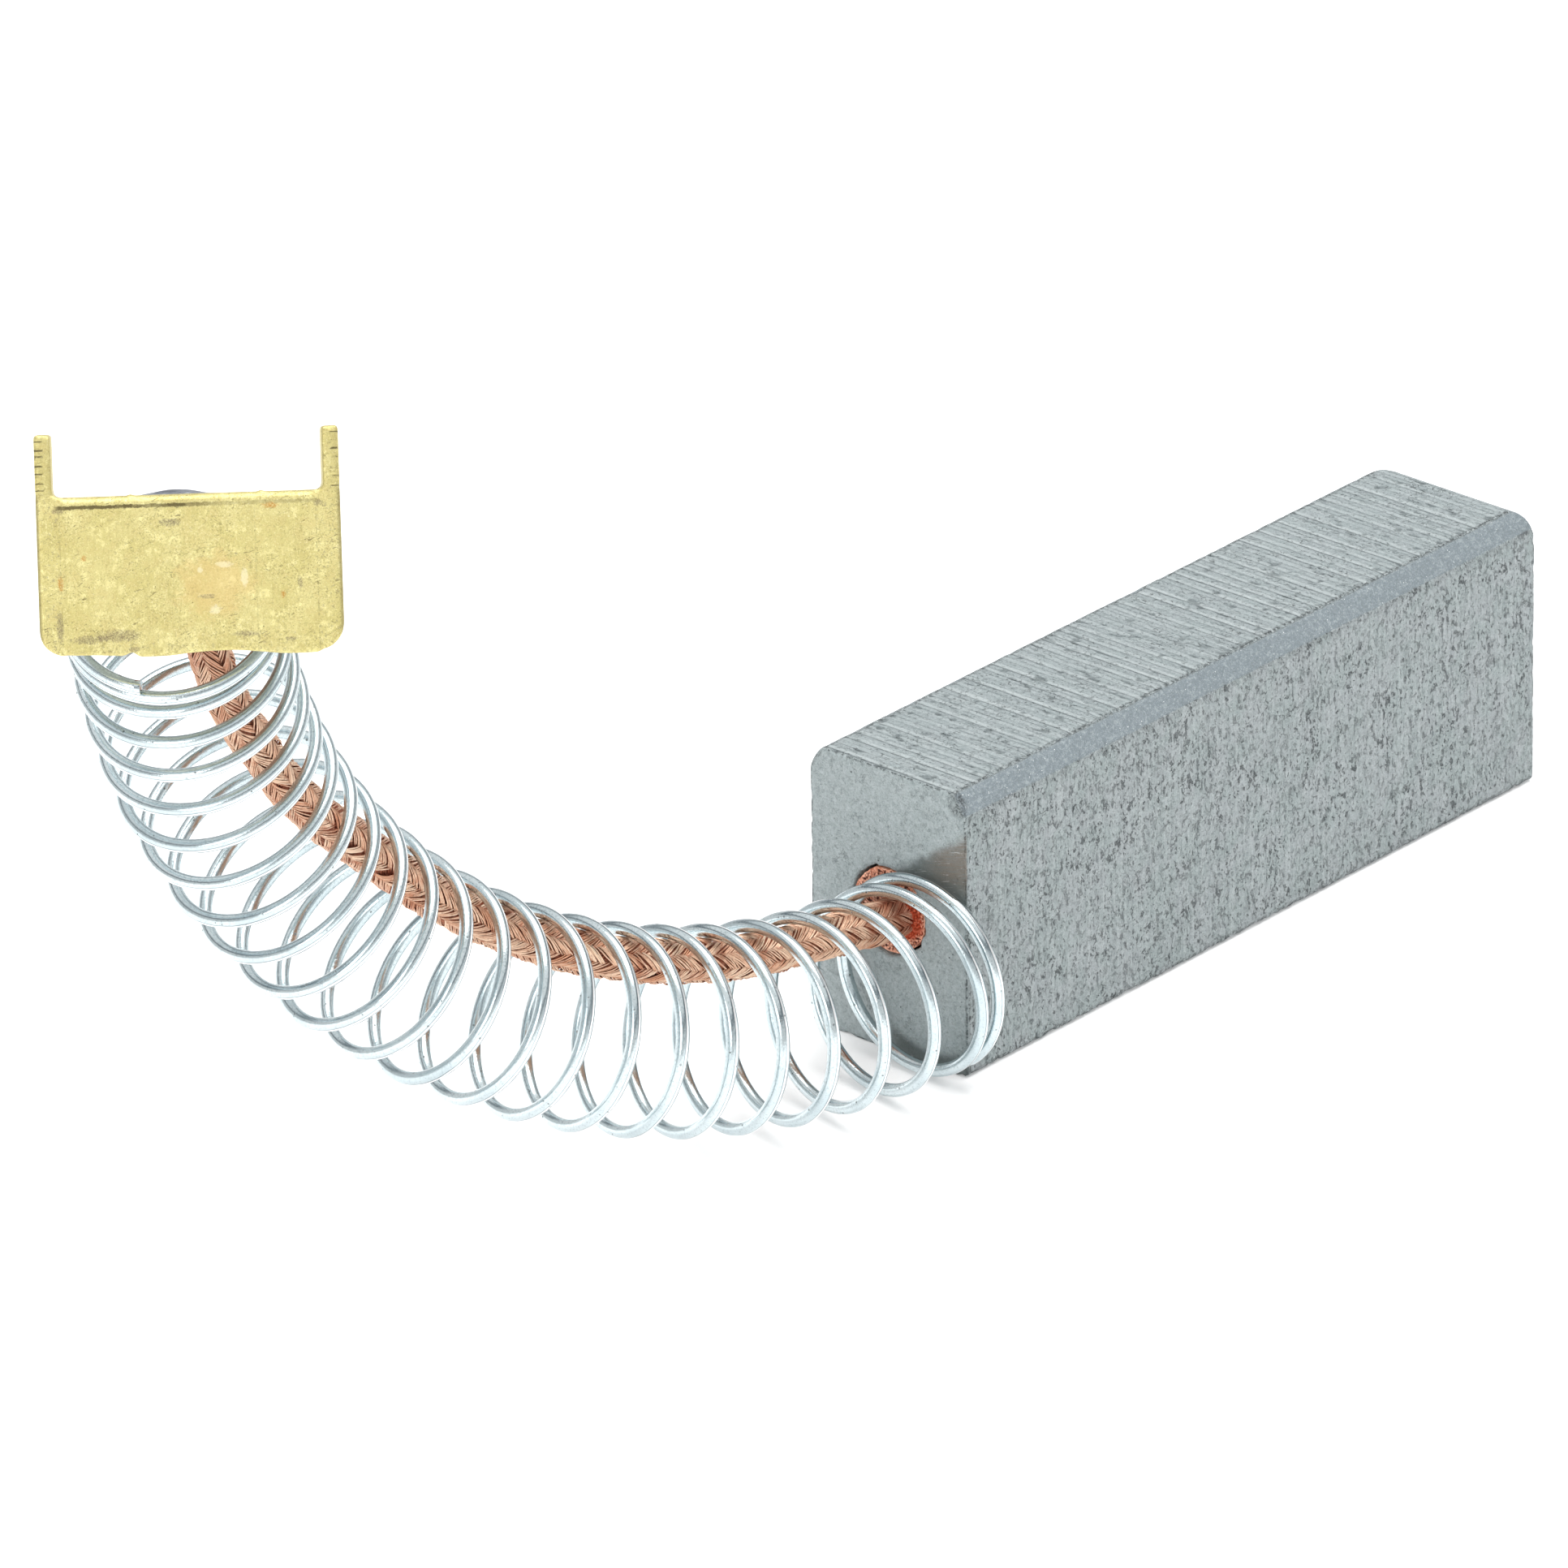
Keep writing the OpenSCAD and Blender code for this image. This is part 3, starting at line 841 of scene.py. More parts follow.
def wire_finish():
    """Bright metal with a painted highlight along the outside of each turn, a painted dark
    reflection line on each side of it, painted shade beyond one of them, fine specks and
    small dents."""
    material, place = new_finish("tinned_wire")
    cosine, sine, _ = split(carried(place, "round", 1))
    across = sine - HIGHLIGHT_AT + (place.noise(1.6, 3, 0.6) * 0.3 - 0.15)
    highlight_track = abs(across)
    outside = cosine.step(0.1, 0.5)
    dull = place.noise(2.5, 3).step(0.4, 0.7)
    fine = place.noise(0.07, 3, 0.75)
    specks = place.cells(0.3).step(0.17, 0.08) * place.noise(0.6, 2).step(0.46, 0.58)
    dark = highlight_track.step(0.17, 0.22) * highlight_track.step(0.36, 0.27) * outside * (0.6 + 0.4 * dull)
    colour = dull.mix(linear(213, 224, 227), linear(196, 209, 213))
    colour = painted(colour, [
        (fine.step(0.5, 0.66) * 0.5, 156, 171, 175),
        # Painted shade on one side of the turn, past the dark line.
        (across.step(0.2, 0.5) * outside * 0.5, 140, 156, 160),
        # Painted highlight along the outside of each turn.
        (highlight_track.step(0.2, 0.12) * outside * 0.95, 255, 255, 255),
        # Painted dark reflection line on each side of the highlight.
        (dark * 0.8, 84, 97, 103),
        (specks * 0.75, 96, 100, 99),
    ])
    roughness = 0.09 + 0.1 * dull + 0.08 * fine + 0.3 * specks
    finish_surface(place, colour, roughness, fine - specks, 0.004, metallic=1.0)
    return material


dress(spring, wire_finish(), "spring")

# %% [markdown]
# The braid is plaited from sixteen bundles of fine copper wire. Eight turn one way and
# eight the other, and each passes over two and under two of the others, which gives the
# wheat-ear pattern. Whether a bundle is over or under depends only on its place round the
# braid, so one cosine of that angle lifts and lowers every wire. All wires that turn one
# way are worked out at once, in one array: bundle, wire, step along the braid. Where the
# braid leans on the coil, its wires stop just short of the spring's wire.

# %% The braid's route
BRAID_STEP, CURVE_STEPS = 0.17, 24
BRAID_IN, BRAID_STRAIGHT = 1.2, 0.3
BRAID_END_GAP = 0.12
HOLE_SIDE = 0.4
SHUNT_RISE = 1.3
TERM_TURN, TERM_LEAN = np.radians(-45.9), np.radians(-24.3)
SHEET = 0.5
WEB_SHIFT = (0.62, 0.37)

TERM_X = np.array([np.cos(TERM_TURN), np.sin(TERM_TURN), 0.0])
TERM_UP = np.array([np.sin(TERM_TURN) * np.sin(TERM_LEAN), -np.cos(TERM_TURN) * np.sin(TERM_LEAN),
                    np.cos(TERM_LEAN)])
TERM_BACK = np.cross(TERM_UP, TERM_X)
TERM_WAYS = np.array([TERM_X, TERM_BACK, TERM_UP])
web_rest = (wire_line @ TERM_UP).max() + WIRE_D / 2 + SEAT_GAP + SHEET
web_middle = COIL_TIP + WEB_SHIFT[0] * TERM_X + WEB_SHIFT[1] * TERM_BACK
WEB_AT = web_middle + (web_rest - web_middle @ TERM_UP) * TERM_UP
HOLE_AT = WEB_AT - HOLE_SIDE * TERM_X
SHUNT_END = HOLE_AT - BRAID_END_GAP * TERM_UP


def smooth_through(points, step):
    """Catmull-Rom curve through points: each stretch is a cubic set by its two ends and
    their neighbours. It is then shared out in equal steps of its length."""
    t = np.linspace(0, 1, CURVE_STEPS, endpoint=False)[:, None]
    stretches = []
    for a, b, c, d in zip(points, points[1:], points[2:], points[3:]):
        stretches.append(0.5 * (2 * b + (c - a) * t + (2 * a - 5 * b + 4 * c - d) * t ** 2
                                + (3 * b - a - 3 * c + d) * t ** 3))
    line = np.vstack([*stretches, points[-2]])
    reach = reach_along(line)
    even = np.linspace(0, reach[-1], round(reach[-1] / step) + 1)
    return at_reach(even, reach, line), even


braid_line, braid_reach = smooth_through(np.vstack([
    SHUNT_ROOT + [BRAID_IN + 1, 0, 0], SHUNT_ROOT + [BRAID_IN, 0, 0],
    SHUNT_ROOT - [BRAID_STRAIGHT, 0, 0], SHUNT_ROUTE,
    SHUNT_END - SHUNT_RISE * TERM_UP, SHUNT_END, SHUNT_END + TERM_UP,
]), BRAID_STEP)
print("braid:", round(float(braid_reach[-1]), 1), "mm from just inside the plug to the terminal")

# %% The braid's wires
CARRIERS, WIRES = 8, 10
WIRE_R = 0.026
BRAID_R, BRAID_LAY = 0.62, 6.6
THIN_FROM, THIN_OVER, THINNER = 24, 20, 0.1
LOOSE_FROM, LOOSE_OVER = 38, 8
WEAVE_LIFT, CROWN = 0.06, 0.04
BUNDLE_WIDTH = 0.41
BRAID_SIDES, CORE_SIDES = 4, 20
CORE_INSET = 0.05
TOUCH_GAP, TOUCH_LEAST = 0.03, 0.3

braid_ways = square_to(unit(np.gradient(braid_line, axis=0)))
braid_radius = BRAID_R * (1 - THINNER * ramp((braid_reach - THIN_FROM) / THIN_OVER))


def spring_room():
    """From each step of the braid, the direction to the nearest point of the spring's
    wire, and how far the middle of a copper wire may lie that way."""
    between = wire_line[None] - braid_line[:, None]
    distance = np.linalg.norm(between, axis=-1)
    nearest = between[np.arange(len(braid_line)), distance.argmin(axis=1)]
    return unit(nearest), distance.min(axis=1) - WIRE_D / 2 - WIRE_R - TOUCH_GAP


def weave(angle):
    """Height of a bundle from -1, under, to 1, over, by its angle round the braid: four
    waves in a turn, flattened at their tops."""
    return np.clip(1.5 * np.cos(4 * angle - np.pi / 4), -1, 1)


def braid_wires(way):
    """Middle lines of all wires that turn one way: a helix on the braid's surface, lifted
    and lowered by the weave, with small wanderings of each wire and of whole bundles."""
    bundle = np.arange(CARRIERS)[:, None, None]
    wire = (np.arange(WIRES) - (WIRES - 1) / 2)[None, :, None]
    lean = np.arctan(TURN * BRAID_R / BRAID_LAY)
    loose = joined(bundle * 3.1 + 50 * (way > 0), wire * 1.7, braid_reach)
    loosened = ramp((braid_reach - LOOSE_FROM) / LOOSE_OVER)
    wander = (1.8 * drift(loose, 1.5, 51) + 0.8 * drift(loose, 0.5, 53)) * (1 + 0.8 * loosened)
    whole = drift(joined(bundle * 5.3 + 70 * (way > 0), 0 * wire, braid_reach), 2.2, 55)
    spread = wire * (1 + 0.25 * whole) + wander + 2.2 * whole
    spread = BUNDLE_WIDTH / WIRES * spread / (BRAID_R * np.cos(lean))
    angle = way * TURN * braid_reach / BRAID_LAY + bundle * TURN / CARRIERS + spread
    height = way * weave(angle)
    crown = 1 - (wire / WIRES * 2) ** 2
    lumps = (0.05 + 0.05 * loosened) * drift(loose * [1, 0, 1], 1.4, 57)
    radius = braid_radius + WEAVE_LIFT * height + CROWN * crown + lumps - 0.02
    radius = radius + 0.02 * drift(loose, 0.6, 59) + 0.1 * np.clip(drift(loose, 1.2, 60) - 0.62, 0, 1)
    out = swung(angle, *braid_ways)
    toward, room = spring_room()
    radius = np.minimum(radius, room / np.clip((out * toward).sum(axis=-1), TOUCH_LEAST, None))
    return braid_line + radius[..., None] * out, out, height


def at_corners(values, sides):
    """Values along each wire, repeated for the corners of its rings and its two ends."""
    return np.concatenate([np.repeat(values, sides, axis=1), values[:, [0, -1]]], axis=1).ravel()


def wire_bundle(name, line, out, height, first_bundle):
    """Closed four-sided tubes round the wires of a few bundles, as one mesh. Each point
    keeps its wire's own shade, its distance along the braid and its height in the weave."""
    rings = round_profile(line, out, WIRE_R, BRAID_SIDES)
    bundles, wires, steps = line.shape[:3]
    count = bundles * wires
    per_wire = steps * BRAID_SIDES
    starts = (np.arange(count) * (per_wire + 2))[:, None, None]
    ends = line[:, :, [0, -1]].reshape(count, 2, 3)
    points = np.concatenate([rings.reshape(count, per_wire, 3), ends], axis=1).reshape(-1, 3)
    faces = [(part + starts).reshape(-1, part.shape[1]) for part in skin_faces(steps, BRAID_SIDES)]
    piece = mesh_object(name, points, faces)
    number = np.arange(count)
    own = 0.4 * scatter(joined(number, number * 3 + first_bundle, number * 7 + 1), 61)
    bundle = (number // wires)[:, None] * 3.7 + first_bundle
    shade = 0.3 + 0.4 * drift(joined(bundle, 0.5 * bundle, braid_reach), 1.6, 63)
    reach = np.broadcast_to(braid_reach, (count, steps))
    for mark_name, values in (("own", np.clip(own[:, None] + shade, 0, 1)), ("reach", reach),
                              ("over", height.reshape(count, steps))):
        mark(piece, mark_name, at_corners(values, BRAID_SIDES))
    return piece


def braid_core():
    """The inner wires, seen only through gaps, as one dark rope inside the plait."""
    rings = round_profile(braid_line, braid_ways[0], braid_radius - CORE_INSET, CORE_SIDES)
    piece, points = skin_object("braid_core", rings, braid_line[[0, -1]])
    mark(piece, "own", 0.5 + 0.5 * drift(points, 0.3, 65))
    mark(piece, "reach", at_corners(braid_reach[None], CORE_SIDES))
    mark(piece, "over", np.full(len(points), -0.6))
    return piece


braid_pieces = []
for way, side_name in ((1, "right"), (-1, "left")):
    parts = braid_wires(way)
    for half in (0, 1):
        chosen = slice(half * CARRIERS // 2, (half + 1) * CARRIERS // 2)
        braid_pieces.append(wire_bundle(
            f"braid_{side_name}_{half + 1}", *(part[chosen] for part in parts), 16 * half + way))
braid_pieces.append(braid_core())
print("braid pieces:", ", ".join(piece.name for piece in braid_pieces))

# %% [markdown]
# New copper is pale pink where light catches a wire, and each wire catches it
# differently, so every wire keeps its own random number. Heat and the tamping powder
# leave the first millimetres near the plug brown and red, and painted shade darkens the
# wires that lie under others, more towards the terminal.

# %% The copper finish
def copper_finish():
    """Each wire its own shade of copper, darker and redder towards the plug, with painted
    shade on the wires that lie under others.
    """
    material, place = new_finish("braid_copper")
    own, reach, over = (carried(place, name) for name in ("own", "reach", "over"))
    smoke = place.noise(0.7, 4, 0.65)
    fine = place.noise(0.12, 3, 0.7)
    under = over.step(0.3, -0.7)
    oxide = reach.step(3.6, 1.4) * (0.35 + 0.65 * smoke.step(0.3, 0.6))
    colour = painted(own.mix(linear(255, 230, 204), linear(212, 152, 118)), [
        (smoke.step(0.5, 0.64) * 0.55, 190, 116, 80),
        (fine.step(0.52, 0.66) * 0.45, 164, 108, 86),
        # Painted shade on the wires that lie under others, deeper towards the terminal.
        (under * 0.75, 160, 78, 50),
        (under * reach.step(30, 44) * 0.5, 84, 46, 36),
        (reach.step(34, 46) * 0.4, 176, 112, 86),
        (oxide * 0.45, 176, 84, 52),
    ])
    roughness = 0.38 + 0.15 * smoke + 0.2 * oxide
    finish_surface(place, colour, roughness, fine, 0.004, metallic=0.8)
    return material


copper = copper_finish()
for piece in braid_pieces:
    dress(piece, copper, "shunt")

# %% [markdown]
# The plug is copper powder tamped round the braid. Its face is a disc with a hole for the
# braid, rough with grains as coarse as sand. Scattered middles give the grains: the face
# rises towards each middle and drops in the gaps between them.

# %% The copper plug
PLUG_SECTORS = 380
FACE_RINGS, WALL_RINGS = 42, 8
PLUG_PLAY, BRAID_HOLE_R = 0.03, 0.5
PLUG_TIP = 0.1
GRAIN = 0.085


def make_plug():
    """Rings from the braid outward over the face, down the wall and in at the drill point,
    with grains raised on the face."""
    angle = np.linspace(0, TURN, PLUG_SECTORS, endpoint=False)
    ring = circle(angle)
    rim = PLUG_D / 2 - PLUG_PLAY - 0.04 * (1 + drift(ring, 0.3, 71)) - 0.02 * (1 + drift(ring, 0.08, 72))
    inner = np.array(SHUNT_SHIFT[1:]) + BRAID_HOLE_R * ring[:, :2]
    outer = rim[:, None] * ring[:, :2]
    share = np.linspace(0, 1, FACE_RINGS)
    deep = np.concatenate([
        np.linspace(0.3, PLUG_DEPTH - 0.1, WALL_RINGS), [PLUG_DEPTH + DRILL_LEN * 0.8],
    ])
    size = np.append(np.ones(WALL_RINGS), PLUG_TIP)[:, None, None]
    face = rings_at(0 * share, inner + (outer - inner) * share[:, None, None])
    rings = np.concatenate([face, rings_at(deep, outer * size)]) + PLUG_MOUTH
    near, tint = nearest_grain(rings, GRAIN, 73)
    fine, _ = nearest_grain(rings, GRAIN / 2, 79)
    lift = 0.08 * (1 - near) + 0.02 * (1 - fine) - 0.1 + 0.02 * drift(rings, 0.35, 77)
    edge = np.concatenate([ramp(share * 8) * ramp((1 - share) * 24), 0 * deep])[:, None]
    rings[..., 0] -= (lift * edge) - 0.05 * (1 - edge)
    piece, _ = skin_object("plug_grains", rings)
    for name, values in (("grain_gap_shade", near * edge), ("tint", tint)):
        mark(piece, name, np.append(values, [0, 0]))
    return piece


def plug_finish():
    """Grains of copper with painted shade in the gaps between them, and red oxide near the braid."""
    material, place = new_finish("tamped_powder")
    _, y, z = split(place)
    grain_gap_shade = carried(place, "grain_gap_shade")
    tint = carried(place, "tint")
    from_braid = (y + 0.5).with_side(z - 4.95)
    oxide = (from_braid + place.noise(0.4, 3) * 0.5).step(1.25, 1.0)
    colour = painted(tint.mix(linear(250, 192, 164), linear(206, 132, 104)), [
        # Painted shade in the gaps between the grains.
        (grain_gap_shade.step(0.42, 0.72), 84, 44, 34),
        (place.noise(0.3, 3, 0.7).step(0.5, 0.66) * 0.5, 120, 66, 48),
        (oxide * 0.85, 190, 74, 40),
    ])
    finish_surface(place, colour, 0.42 + 0.2 * tint, place.noise(0.06), 0.01, metallic=0.75)
    return material


plug = make_plug()
dress(plug, plug_finish(), "copper_plug")

# %% [markdown]
# The terminal is stamped from brass sheet and folded: a web with two ears turned up, and
# a skirt turned down in front. Its parts are closed solids, each an outline carried along
# a straight path. Boolean steps join them and cut the braid's hole, and a voxel remesh
# makes one fine skin of them, whose corners come out slightly soft, as a press leaves
# them. All this is done in the terminal's own directions, across, back and up, and its
# place and tilt are put into the mesh at the end.

# %% Outlines of the terminal
TERM_W, TERM_DEPTH = 9.15, 6.4
EAR_H, SKIRT_H = 1.9, 4.8
BEND_R, EDGE_R, CORNER_R = 0.2, 0.25, 0.8
HOLE_PLAY, HOLE_POINTS = 0.1, 48
FOOT_POINTS = 40
VOXEL = 0.062
SOFTEN_ROUNDS, SOFTEN_SHARE = 3, 0.5


def arc(middle, radius, start, end, count=10):
    """Points on a part of a circle, angles in degrees."""
    angle = np.radians(np.linspace(start, end, count))
    return np.asarray(middle) + radius * circle(angle)[:, :2]


def channel_outline():
    """The web and its two upturned ears, seen from the front."""
    half = TERM_W / 2
    bend = BEND_R + SHEET
    right = np.vstack([
        arc([half - bend, bend - SHEET], bend, -90, 0), [[half, EAR_H], [half - SHEET, EAR_H]],
        arc([half - bend, bend - SHEET], BEND_R, 0, -90),
    ])
    return np.vstack([right, right[::-1] * [-1, 1]])


def skirt_outline():
    """The skirt from the front, with rounded lower corners and a slightly wavy foot."""
    half = TERM_W / 2
    foot = np.linspace(-half + CORNER_R, half - CORNER_R, FOOT_POINTS)
    wave = -SKIRT_H + 0.05 * np.sin(foot * 1.3 + 0.6) - 0.05 * ramp((foot - 0.5) / 3)
    return np.vstack([
        [[half, 0], [-half, 0]],
        arc([-half + CORNER_R, -SKIRT_H + CORNER_R], CORNER_R, 180, 270)[:-1],
        joined(foot, wave),
        arc([half - CORNER_R, -SKIRT_H + CORNER_R], CORNER_R, 270, 360)[1:],
    ])


def prism(name, outline, near, far, order=(0, 1, 2)):
    """A closed solid: an outline, drawn across and up, carried back from near to far. The
    order swaps these directions. One unit of this mesh is a millimetre."""
    count = len(outline)
    rings = [joined(outline[:, 0], back, outline[:, 1]) for back in (near, far)]
    ring = np.arange(count)[None, :]
    faces = [band_faces(2, count)[:, ::-1], ring, ring[:, ::-1] + count]
    return mesh_object(name, np.concatenate(rings)[:, order] / MM, faces)


def combine(solid, operation, other):
    """Adds another solid to a solid, or takes it away."""
    step = solid.modifiers.new(operation, "BOOLEAN")
    step.operation = operation
    step.solver = "EXACT"
    step.object = other


def remeshed(solid, size):
    """The points and four-sided faces of one even skin over a solid."""
    skin = solid.modifiers.new("skin", "REMESH")
    skin.mode = "VOXEL"
    skin.voxel_size = size
    shape = solid.evaluated_get(bpy.context.evaluated_depsgraph_get()).to_mesh()
    points = np.empty(3 * len(shape.vertices), dtype=np.float32)
    shape.vertices.foreach_get("co", points)
    corners = np.empty(len(shape.loops), dtype=np.int32)
    shape.loops.foreach_get("vertex_index", corners)
    assert len(corners) == 4 * len(shape.polygons)
    return points.reshape(-1, 3).astype(float), corners.reshape(-1, 4)


def softened(points, faces):
    """Moves each point towards the middle of its neighbours, a few times over."""
    here, there = np.concatenate([faces[:, [k, (k + 1) % 4]] for k in range(4)]).T
    count = np.bincount(here, minlength=len(points))[:, None]
    for _ in range(SOFTEN_ROUNDS):
        total = [np.bincount(here, part, len(points)) for part in points[there].T]
        points = points + SOFTEN_SHARE * (joined(*total) / count - points)
    return points


def terminal_skin():
    """The folded sheet in its own directions, hole and all."""
    front = -TERM_DEPTH / 2
    bore = arc([-HOLE_SIDE, 0], SHUNT_D / 2 + HOLE_PLAY, 360, 0, HOLE_POINTS + 1)[:-1]
    solids = [
        prism("channel", channel_outline(), front, -front),
        prism("skirt", skirt_outline(), front, front + SHEET),
        prism("hole", bore, -1, 1, order=(0, 2, 1)),
    ]
    combine(solids[0], "UNION", solids[1])
    combine(solids[0], "DIFFERENCE", solids[2])
    points, faces = remeshed(solids[0], VOXEL)
    for solid in solids:
        bpy.data.objects.remove(solid)
    return softened(points, faces), faces


term_points, term_faces = terminal_skin()
term_box = term_points.min(axis=0).round(2), term_points.max(axis=0).round(2)
print("terminal skin:", len(term_faces), "faces, from", *term_box)

# %% The terminal's wear
NICK_AT = -1.82
RUNG_PITCH = 0.26
FOLD_BUMPS = (-1.72, 2.2)


def wear_terminal(points):
    """Rounds the fold, presses a groove under it, and adds shear marks on the ears' front
    edges, a nick in the foot and slight waves of the sheet."""
    across, back, up = points.T
    out = points * 0
    front = ramp(1 - (back + TERM_DEPTH / 2) / 0.25)
    fold = EDGE_R - np.sqrt(np.clip(EDGE_R ** 2 - np.clip(EDGE_R + up, 0, EDGE_R) ** 2, 0, None))
    inside = ramp((TERM_W / 2 - SHEET - BEND_R - abs(across)) / 0.2)
    near_top = (up > -EDGE_R - 0.02) & (up < 0.12)
    out[:, 1] += np.where(near_top, fold, 0) * front * inside * 0.9
    groove = np.exp(-((up + 0.3) / 0.05) ** 2) * ramp((4.1 - abs(across)) / 0.4)
    out[:, 1] += front * 0.02 * groove
    ears = ramp((abs(across) - TERM_W / 2 + SHEET + 0.1) / 0.1) * ramp((up + 0.4) / 0.3)
    raised = up + 0.12 * drift(points, 0.4, 81)
    rungs = np.clip(np.cos(TURN * raised / RUNG_PITCH), 0, 1) ** 3
    out[:, 1] += front * ears * 0.03 * rungs
    waves = 0.02 * drift(points * [1, 0, 1], 2.4, 83) + 0.006 * drift(points, 0.5, 87)
    out[:, 1] += waves * ramp((0.2 - up) / 0.5) * (back < 0)
    foot = ramp((-up - SKIRT_H + 0.5) / 0.5)
    out[:, 2] += foot * 0.035 * drift(points * [1, 0, 0], 0.7, 89)
    out[:, 2] += foot * 0.12 * np.exp(-((across - NICK_AT) / 0.16) ** 2)
    bumps = sum(np.exp(-((across - at) / 0.09) ** 2) for at in FOLD_BUMPS)
    out[:, 2] += 0.055 * bumps * ramp((up + 0.1) / 0.1) * front * ramp((0.4 - up) / 0.2)
    tips = ramp((up - EAR_H + 0.2) / 0.2)
    out[:, 2] += tips * 0.03 * drift(points, 0.5, 91)
    return points + out


term_points = wear_terminal(term_points)
terminal = mesh_object("terminal_sheet", WEB_AT + term_points @ TERM_WAYS, [term_faces])
mark(terminal, "fold", term_points)
print("terminal:", len(term_points), "points, web at", WEB_AT.round(2))

# %% [markdown]
# Old brass sheet is a dull, mottled yellow, and the web's underside is pale with tin. The
# marks follow the sheet and not the room, so the mesh keeps each point's place across,
# back and up the terminal, and the material reads that instead of the room's coordinates.

# %% Marks on the brass
SPOTS = (
    (-3.18, -1.84, 0.1, 0.09), (2.77, -3.11, 0.1, 0.12), (2.45, -0.42, 0.25, 0.1),
    (-3.9, -2.6, 0.1, 0.25),
)
PALE_MARKS = (
    (1.05, -2.16, 0.32, 0.1), (1.62, -2.58, 0.12, 0.3), (0.72, -3.5, 0.2, 0.16),
    (0.3, -2.3, 0.1, 0.1),
)
SMEARS = (
    (0.5, -3.1, 0.28, 0.08), (3.3, -2.75, 0.09, 0.2), (1.4, -1.85, 0.06, 0.04),
    (-0.55, -0.85, 0.35, 0.14), (1.65, -4.25, 0.45, 0.09), (2.95, -4.45, 0.2, 0.07),
    (-3.1, -4.3, 0.6, 0.14), (-1.75, -4.62, 0.16, 0.1), (-3.9, -0.42, 0.2, 0.1),
    (3.9, -0.4, 0.16, 0.1), (-3.95, -3.9, 0.12, 0.5), (-2.2, -4.2, 0.7, 0.2),
)
TAN_PATCH = (0.75, -2.75, 1.3, 1.1)
FOLD_LINES = ((-3.88, 0.5), (1.99, 0.4), (3.83, 0.8))


def blot(across, up, ragged, at_across, at_up, half_width, half_height):
    """1 in the middle of an oval with a ragged edge, and 0 outside."""
    a = (across - at_across) / half_width
    b = (up - at_up) / half_height
    return (a * a + b * b + ragged * 3 - 1.5).step(1.2, 0.2)


def brass_marks(local, across, up, front):
    """Coats of stains, pale marks, fold lines, and painted shade in the groove under the fold."""
    ragged = local.noise(0.12, 4, 0.8)
    broad = local.noise(0.5, 5, 0.75)
    porous = front * (0.35 + 0.65 * local.noise(0.05, 3, 0.8).step(0.4, 0.6))
    coats = [(blot(across, up, broad, *TAN_PATCH) * front * 0.4, 222, 190, 126)]
    for marks, cover, share, shade in (
        (SPOTS, porous, 0.8, (190, 132, 50)),
        (PALE_MARKS, front, 0.45, (244, 238, 206)),
        (SMEARS, porous, 0.7, (122, 108, 90)),
    ):
        coats += [(blot(across, up, ragged, *at) * cover * share, *shade) for at in marks]
    for at_across, share in FOLD_LINES:
        line = abs(across + 0.05 * ragged - 0.025 - at_across).step(0.04, 0.0) * up.step(-0.4, -0.6)
        coats.append((line * ragged.step(0.44, 0.56) * front * share * 0.6, 128, 118, 76))
    line = up + 0.16 * ragged - 0.08
    # Painted shade in the groove under the fold.
    fold_groove_shade = line.step(-0.4, -0.35) * line.step(-0.25, -0.28) * (4.1 - abs(across)).step(0.0, 0.25)
    fold_groove_shade = fold_groove_shade * (0.35 + 0.65 * (across + broad).step(1.8, 0.4)) * front
    return coats + [(fold_groove_shade * (0.65 + 0.35 * broad.step(0.4, 0.56)), 108, 98, 62)]


print("stains and pale marks:", len(SPOTS + PALE_MARKS + SMEARS))

# %% The brass finish
def brass_scratches(local):
    """Fine scratches in two slanted directions."""
    first = local.turned("Y", 0.35).scaled(0.25, 1.0, 1.5).noise(0.07, 2, 0.5)
    second = local.turned("Y", -0.6).scaled(0.25, 1.0, 1.5).noise(0.06, 2, 0.5)
    return first.step(0.66, 0.72).most(second.step(0.68, 0.74))


def cut_edges(local, across, up, front):
    """The cut edges of the ears, the rungs that the shear left on them, and where the rungs
    are dark."""
    edge = (abs(across) - (TERM_W / 2 - SHEET - 0.06)).step(0.0, 0.08) * (up + 0.15).step(0.0, 0.2)
    count = up * (1 / RUNG_PITCH) + local.scaled(0.04, 0.2, 1.0).noise(0.35, 2) * 2
    rungs = abs(count.maths("FRACT", count) - 0.5).step(0.16, 0.04)
    rungs = rungs * (abs(across) - TERM_W / 2 + 0.3).step(0.0, 0.06)
    return edge * front, rungs, local.scaled(0.5, 1.0, 1.0).noise(0.25, 3).step(0.4, 0.52)


